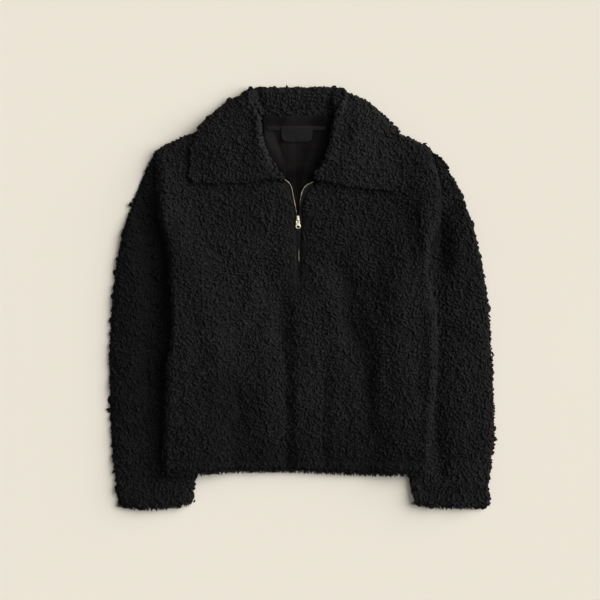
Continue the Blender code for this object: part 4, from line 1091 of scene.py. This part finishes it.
# a layer's lower edge from x to x, and the pitch; for tufts and curls: length, bend, share of the pitch, unevenness, seed, shift
tuftLook = {
    "front": (-222, 208, 2.5), "sleeve_left": (-306, -190, 2.9), "sleeve_right": (190, 304, 2.9),
    "step": 5.0, "lowest": 2.5, "band": 2.5, "inside": 1.6, "thick": 1.1, "tone": 0.25,
    "tufts": (9.2, 2.2, 1.6, 0.9, 3, (0, 0, 1.2)), "curls": (6.6, -2.4, 1.0, 1.0, 8, (0, -0.6, -1.0)),
}


def lowEdge(name, first, final):
    points, look = layers[name]["base"] / mm, tuftLook
    line = []
    for x in np.arange(first, final, look["step"]):
        near = points[(np.abs(points[:, 0] - x) < look["step"]) & (points[:, 2] > look["lowest"])]
        near = near[near[:, 1] < near[:, 1].min() + look["band"]]
        line.append((x, near[:, 1].min() + look["inside"], near[:, 2].mean()))
    line = np.array(line)
    line[1:-1] = (line[:-2] + 2 * line[1:-1] + line[2:]) / 4
    return line


def tuftPart(length, bend):
    t = np.linspace(0.0, 1.0, 6)
    path = np.stack([bend * t ** 2 - 0.5, -length * t + 0.6, 0.9 * np.sin(2.6 * t)], axis=-1)
    made = wormMesh("tuft", path, tuftLook["thick"] * np.array([1.1, 1.25, 1.1, 0.9, 0.62, 0.4]), uneven=0.3)
    setAttribute(made.data, "tone", np.full(len(made.data.vertices), tuftLook["tone"]))
    return made


for name in ("front", "sleeve_left", "sleeve_right"):
    first, final, pitch = tuftLook[name]
    line = lowEdge(name, first, final)
    for kind in ("tufts", "curls"):
        length, bend, share, uneven, seed, shift = tuftLook[kind]
        curlPieces[name].append(repeatAlong(name + "_edge_" + kind, [line + shift], tuftPart(length, bend), pitch * share, uneven,
                                            finishes["fleece"], seed))
print("edge tufts made")


# the zip: tapes with a rolled edge, teeth, slider and pull tab

zipLook = {     # the inner edges of the tapes and the edges of the slit as x and y, then heights and sizes, in mm
    "left": [(-4.3, 33), (-4.35, 70), (-5.3, 104), (-6.15, 122), (-7.1, 136), (-8.3, 146), (-10.1, 156), (-12.1, 167), (-14.2, 178),
             (-16.0, 185.5), (-18.6, 191.6), (-23.8, 196.9), (-27.0, 199.4)],
    "right": [(-4.0, 33), (-4.05, 70), (-5.0, 104), (-5.85, 122), (-4.9, 136), (-4.2, 146), (-3.4, 158), (-2.4, 167), (-0.7, 176.5),
              (2.9, 184.2), (8.0, 190.2), (15.8, 194.5), (18.5, 195.6)],
    "slitLeft": [(-8.5, 35), (-9, 97), (-12, 114), (-12.5, 135), (-15, 152), (-20, 170), (-28, 187), (-39, 196)],
    "slitRight": [(-1.5, 35), (-1, 97), (1, 114), (1.5, 135), (3.5, 152), (7, 170), (16, 186), (29, 194)],
    "tapeUnder": 6.0, "tapeLow": 9.8, "tapeTop": 10.6, "rollTop": 11.75,
    "toothPitch": 1.5, "toothWide": 1.35, "toothLong": 0.95, "toothHigh": 1.3, "toothMiddle": 10.15,
    "gapFrom": 63.0, "gapTo": 80.0, "gapWide": 0.72, "teethBelow": 126.5, "teethAbove": 139.6,
}


def tapeCover(side, y):
    first, final = zipLook["gapFrom"], zipLook["gapTo"]     # between them the closed zip gapes a little
    gap = smoothStep(first - 5, first + 3, y) * (1.0 - smoothStep(final - 3, final + 5, y))
    closed = zipLook["gapWide"] * gap - 0.20
    if side == "Left":      # how much of the tape shows beside the teeth where the zip is open
        shown = 0.35 + 1.25 * smoothStep(142, 172, y)
    else:
        shown = 0.15 + 0.5 * smoothStep(150, 162, y) + 2.0 * smoothStep(182, 194, y)
    return closed + (shown - closed) * smoothStep(126, 142, y)


def buildTape(side):
    sign = -1.0 if side == "Left" else 1.0
    line = smoothLine(zipLook[side.lower()], 1.6)
    out = headings(line)[:, ::-1] * (sign, -sign)
    cover = tapeCover(side, line[:, 1])
    width = np.maximum(distanceTo(line, smoothLine(zipLook["slit" + side], 2.0)) + zipLook["tapeUnder"], cover + 4.0)
    low, top, roll = zipLook["tapeLow"], zipLook["tapeTop"], zipLook["rollTop"]
    points, faces, count = [], [], 12
    for i, (p, o, c, w) in enumerate(zip(line, out, cover, width)):
        wave = 0.06 * math.sin(i * 0.9) + 0.05 * math.sin(i * 0.37)
        ring = [(c, top + 0.15), (c + 0.15, roll - 0.35), (c + 0.65, roll + wave), (c + 1.3, roll - 0.2), (c + 1.9, top + 0.25),
                (c + 2.6, top), (0.5 * (w + c + 2.6), top + 0.5 * wave), (w, top - 0.1), (w, low), (c + 2.4, low), (c + 0.5, low),
                (c, low + 0.3)]
        points += [(p[0] + o[0] * s, p[1] + o[1] * s, z) for s, z in ring]
    for i in range(len(line) - 1):
        for k in range(count):
            n = (k + 1) % count
            a, b = i * count, (i + 1) * count
            faces.append((a + k, a + n, b + n, b + k) if sign > 0 else (a + k, b + k, b + n, a + n))
    first, final = list(range(count)), list(range((len(line) - 1) * count, len(line) * count))
    faces.append(tuple(first if sign < 0 else reversed(first)))
    faces.append(tuple(reversed(final) if sign < 0 else final))
    made = meshObject("zip_" + side.lower() + "_tape", np.array(points) * mm, faces, finishes["tape"])
    tidyNormals(made.data)
    return made


def toothPart():
    shape = bmesh.new()
    bmesh.ops.create_cube(shape, size=1.0)
    for v in shape.verts:
        v.co *= Vector([zipLook[key] * mm for key in ("toothLong", "toothWide", "toothHigh")])
    bmesh.ops.bevel(shape, geom=shape.edges[:], offset=0.24 * mm, segments=1, affect="EDGES")
    mesh = bpy.data.meshes.new("tooth")
    shape.to_mesh(mesh)
    shape.free()
    return newObject("tooth", mesh)


def toothLines():
    lines = []
    for side, shift in (("left", 0.0), ("right", 0.5 * zipLook["toothPitch"])):
        sign = -1.0 if side == "left" else 1.0
        line = smoothLine(zipLook[side], 0.8)
        out = headings(line)[:, ::-1] * (sign, -sign)
        inward = 0.10 + 0.7 * smoothStep(124, 140, line[:, 1])
        line = line + out * inward[:, None]
        line = line[line[:, 1] > 34 + shift]
        z = zipLook["toothMiddle"] + 0.3 * smoothStep(138, 150, line[:, 1]) + 1.1 * smoothStep(150, 186, line[:, 1])
        row = np.column_stack([line, z])
        lines += [row[row[:, 1] < zipLook["teethBelow"]], row[row[:, 1] > zipLook["teethAbove"]]]       # none under the slider
    return lines


def flatPiece(name, outline, low, high, bevel, holes=()):
    shape = bpy.data.curves.new(name, "CURVE")
    shape.dimensions = "2D"
    shape.fill_mode = "BOTH"
    shape.extrude = max(0.5 * (high - low) - bevel, 0.01) * mm
    shape.bevel_depth = bevel * mm
    shape.bevel_resolution = 2
    shape.offset = -bevel * mm
    for loop in [outline, *holes]:
        spline = shape.splines.new("POLY")
        spline.points.add(len(loop) - 1)
        for point, (x, y) in zip(spline.points, loop):
            point.co = (x * mm, y * mm, 0.0, 1.0)
        spline.use_cyclic_u = True
    made = newObject(name, shape)
    mesh = evaluatedMesh(made, name)
    bpy.data.objects.remove(made)
    setVertices(mesh, verticesOf(mesh)[0] + (0, 0, 0.5 * (low + high) * mm))
    tidyNormals(mesh, weld=1e-6)
    mesh.shade_smooth()
    mesh.set_sharp_from_angle(angle=math.radians(35))
    mesh.materials.clear()
    mesh.materials.append(finishes["brass"])
    return newObject(name, mesh)


def arc(cx, cy, radius, start, stop, steps):
    angles = np.radians(np.linspace(start, stop, steps))
    return [(cx + radius * math.cos(a), cy + radius * math.sin(a)) for a in angles]


def join(name, parts):
    shape = bmesh.new()
    for part in parts:
        shape.from_mesh(part.data)
    mesh = parts[0].data.copy()
    shape.to_mesh(mesh)
    shape.free()
    mesh.name = name
    for part in parts:
        bpy.data.objects.remove(part)
    return newObject(name, mesh)


sliderLook = {
    "middle": -6.15, "topY": 138.3, "footY": 127.0, "crown": 1.9, "shoulder": 2.5, "foot": 2.4,
    "plateLow": (8.4, 9.4), "plateHigh": (11.0, 12.4), "archHalf": 1.6, "archFoot": 129.4, "archHead": 135.05, "archTop": 15.6,
    "bevel": 0.28,
}
pullLook = {
    "headY": 133.08, "headHalf": 2.9, "footHalf": 3.15, "ringX": -5.65, "ringY": 120.6, "ringRadius": 4.35, "holeX": -5.6, "holeY": 119.3,
    "holeWide": 2.8, "holeTall": 1.95, "windowHalf": 2.1, "windowTop": 131.95, "windowFoot": 127.1, "low": 12.98, "high": 14.12,
    "bevel": 0.3,
}


def sliderOutline():
    x, top, foot = sliderLook["middle"], sliderLook["topY"], sliderLook["footY"]
    wide, narrow, crown = sliderLook["shoulder"], sliderLook["foot"], sliderLook["crown"]
    right = [(x + narrow - 1.1, foot), (x + narrow - 0.35, foot + 0.3), (x + narrow, foot + 1.1), (x + wide, foot + 4.4),
             (x + wide, foot + 6.2), (x + crown + 0.25, foot + 7.6), (x + crown, foot + 8.8), (x + crown, top - 0.9),
             (x + crown - 0.35, top - 0.25), (x + crown - 1.0, top)]
    notch = [(x + 0.5, top - 0.15), (x, top - 0.4), (x - 0.5, top - 0.15)]
    left = [(2 * x - px, py) for px, py in reversed(right)]
    return right + notch + left


def buildSlider():
    look = sliderLook
    outline, bevel, x = sliderOutline(), look["bevel"], look["middle"]
    post = arc(x, look["topY"] - 1.9, 1.05, 0, 330, 12)
    parts = [flatPiece("plate_low", outline, *look["plateLow"], bevel), flatPiece("plate_high", outline, *look["plateHigh"], bevel),
             flatPiece("post", post, look["plateLow"][1] - 0.1, look["plateHigh"][0] + 0.1, 0.05)]
    y0, y1, top = look["archFoot"], look["archHead"], look["archTop"]
    middle = 0.5 * (y0 + y1)
    inner = smoothLine([(y0 + 1.0, 12.2), (y0 + 1.0, 13.4), (y0 + 1.35, top - 1.0), (middle, top - 0.85), (y1 - 1.35, top - 1.0),
                        (y1 - 1.0, 13.4), (y1 - 1.0, 12.2)], 0.45)
    outer = smoothLine([(y0, 12.2), (y0 + 0.05, 13.6), (y0 + 0.8, top - 0.3), (middle, top), (y1 - 0.8, top - 0.3),
                        (y1 - 0.05, 13.6), (y1, 12.2)], 0.45)
    steps = max(len(outer), len(inner))
    at = np.linspace(0, 1, steps)
    outer, inner = (np.stack([np.interp(at, np.linspace(0, 1, len(line)), line[:, k]) for k in range(2)], axis=-1)
                    for line in (outer, inner))
    half, soft = look["archHalf"], look["bevel"]
    points = []
    for far, near in zip(outer, inner):
        toward = (near - far) / np.linalg.norm(near - far) * soft
        ring = ((-half, far + toward), (-half + soft, far), (half - soft, far), (half, far + toward),
                (half, near - toward), (half - soft, near), (-half + soft, near), (-half, near - toward))
        points += [(x + px, *p) for px, p in ring]
    arch = meshObject("arch", np.array(points) * mm, tubeFaces(steps, 8), finishes["brass"])
    tidyNormals(arch.data)
    arch.data.set_sharp_from_angle(angle=math.radians(50))
    return join("slider_body", parts + [arch])


def buildPull():
    look, x = pullLook, sliderLook["middle"]
    ringX, ringY, head, top, foot = (look[key] for key in ("ringX", "ringY", "headY", "headHalf", "footHalf"))

    def flank(side):
        rise = [(foot + 0.02, ringY + 3.4), (foot, ringY + 4.4), (0.5 * (top + foot), ringY + 8.0), (top, head - 1.6),
                (top - 0.2, head - 0.7), (top - 0.7, head - 0.15), (top - 1.4, head)]
        return [(x + side * px, py) for px, py in rise]

    outline = arc(ringX, ringY, look["ringRadius"], 148, 392, 44) + flank(1.0) + flank(-1.0)[::-1]
    w, y0, y1 = look["windowHalf"], look["windowFoot"], look["windowTop"]
    window = [(x - w + 0.5, y0), (x + w - 0.5, y0), (x + w, y0 + 0.5), (x + w, y1 - 0.4),
              (x + w - 0.4, y1), (x - w + 0.4, y1), (x - w, y1 - 0.4), (x - w, y0 + 0.5)]
    hole = [(look["holeX"] + look["holeWide"] * px, look["holeY"] + look["holeTall"] * py) for px, py in arc(0, 0, 1.0, 0, 345, 24)]
    return flatPiece("zip_pull", outline, look["low"], look["high"], look["bevel"], [hole, window])


zipTapes = {side: buildTape(side) for side in ("Left", "Right")}
teeth = repeatAlong("zip_teeth", toothLines(), toothPart(), zipLook["toothPitch"], 0.05, finishes["teeth"])
slider = buildSlider()
pull = buildPull()
print("zip made, teeth triangles", trianglesOf(teeth))


# the neck: tape and a bare label

labelForm = {
    "left": -33.5, "right": 18.5, "top": 288.5, "foot": 262.3, "corner": 9.5, "thick": 0.55, "across": 34, "down": 18, "lift": 0.9,
    "sewnFrom": 282.0, "stand": 0.9, "wave": 0.9, "ripple": 0.22, "usualHeight": 17.0,
}


def buildLabel():
    under = [bvhOf([layers["lining"]["mesh"]]), bvhOf([frame["nodes"]["neck_tape"].data])]
    form = labelForm
    middle, half = 0.5 * (form["left"] + form["right"]), 0.5 * (form["right"] - form["left"])
    columns, lines, corner = form["across"], form["down"], form["corner"]
    grid = np.zeros((lines, columns, 3))
    for r, y in enumerate(np.linspace(form["foot"], form["top"], lines)):
        drop = max(0.0, form["foot"] + corner - y)
        w = half - corner + math.sqrt(max(corner ** 2 - drop ** 2, 0.0))
        for c, u in enumerate(np.linspace(-1, 1, columns)):
            x = middle + w * u
            grid[r, c] = (x, y, heightOver(under, min(max(x, -60), 40), y) or form["usualHeight"])
    x, y, z = np.moveaxis(grid, 2, 0)
    # stiff, it lies on the tape and stands off the lining below it
    sewn = z[y[:, 0] > form["sewnFrom"]].max(axis=0)
    slope = (y - form["foot"]) / (form["top"] - form["foot"])
    straight = z[0] + form["stand"] + (sewn - z[0] - form["stand"]) * np.clip(1.25 * slope, 0, 1)
    grid[:, :, 2] = np.maximum(straight, z)
    foot = 1.0 - smoothStep(form["foot"], form["foot"] + 14.0, y)
    wave = form["wave"] * foot * (0.55 - 0.45 * np.sin((x - form["left"]) / 17.0))
    grid[:, :, 2] += form["lift"] + wave + form["ripple"] * np.sin(x / 7.0 + 1.0) * foot
    top = grid.reshape(-1, 3)
    count, faces = len(top), []
    for r in range(lines - 1):
        for c in range(columns - 1):
            a, b = r * columns + c, (r + 1) * columns + c
            faces += [(a, a + 1, b + 1, b), (count + a, count + b, count + b + 1, count + a + 1)]
    index = np.arange(count).reshape(lines, columns)
    rim = [int(i) for i in (*index[0], *index[1:, -1], *index[-1, -2::-1], *index[-2:0:-1, 0])]
    faces += [(a, count + a, count + b, b) for a, b in zip(rim, rim[1:] + rim[:1])]
    points = np.concatenate([top, top - (0, 0, form["thick"])])
    made = meshObject("bare_label", points * mm, faces, finishes["label"])
    tidyNormals(made.data)
    made.data.set_sharp_from_angle(angle=math.radians(50))
    return made, grid


def buildNeckTape():
    mesh = finerCopy("neck_tape", 2)
    mesh.materials.append(finishes["tape"])
    return newObject("neck_seam_tape", mesh)


label, labelGrid = buildLabel()
neckTape = buildNeckTape()


def stitchLines():
    lines = []
    tree = [bvhOf([neckTape.data])]
    for y in stitchLook["rows"]:
        line = [(x, y, (heightOver(tree, x, y) or 0.0) + 0.1) for x in np.arange(stitchLook["from"], stitchLook["to"], 1.0)]
        line = [p for p in line if p[2] > 5]
        lines += [[p for p in line if p[0] < labelForm["left"] - 1], [p for p in line if p[0] > labelForm["right"] + 1]]
    lines.append([tuple(p) for p in (labelGrid + (0, 0, 0.08))[-2, 1:-1]])
    return [line for line in lines if len(line) > 3]


stitches = repeatAlong("neck_stitches", stitchLines(), stitchPart(), stitchLook["pitch"], stitchLook["uneven"], finishes["thread"])
print("neck made")


# which body each piece rides on, and what it stands for

def settle(piece, nodes=(), body="garment"):
    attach(piece, body)
    if nodes:
        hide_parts(*nodes)


setTheStage()
corners = [(x * floorLook["half"], y * floorLook["half"], floorLook["drop"]) for x, y in ((-1, -1), (1, -1), (1, 1), (-1, 1))]
floor = meshObject("floor", corners, [(0, 1, 2, 3)], finishes["floor"])
for name, piece in fleecePieces.items():
    settle(piece, [name])
    for extra in curlPieces[name]:
        settle(extra)
for seam in seams:
    settle(seam)
settle(lining, ["lining"])
settle(zipTapes["Left"], ["zip_tape_left"])
settle(zipTapes["Right"], ["zip_tape_right"])
settle(teeth)
settle(slider, ["zip_slider"])
settle(pull, ["pull_tab"], "pull_tab")
settle(label, ["label"])
settle(neckTape, ["neck_tape"])
settle(stitches)
for piece in [*fleecePieces.values(), lining, *zipTapes.values(), label, neckTape]:
    print("cloth", piece.name, "surface", round(sum(p.area for p in piece.data.polygons) / 2, 5),
          [round(float(v), 4) for v in piece.dimensions])
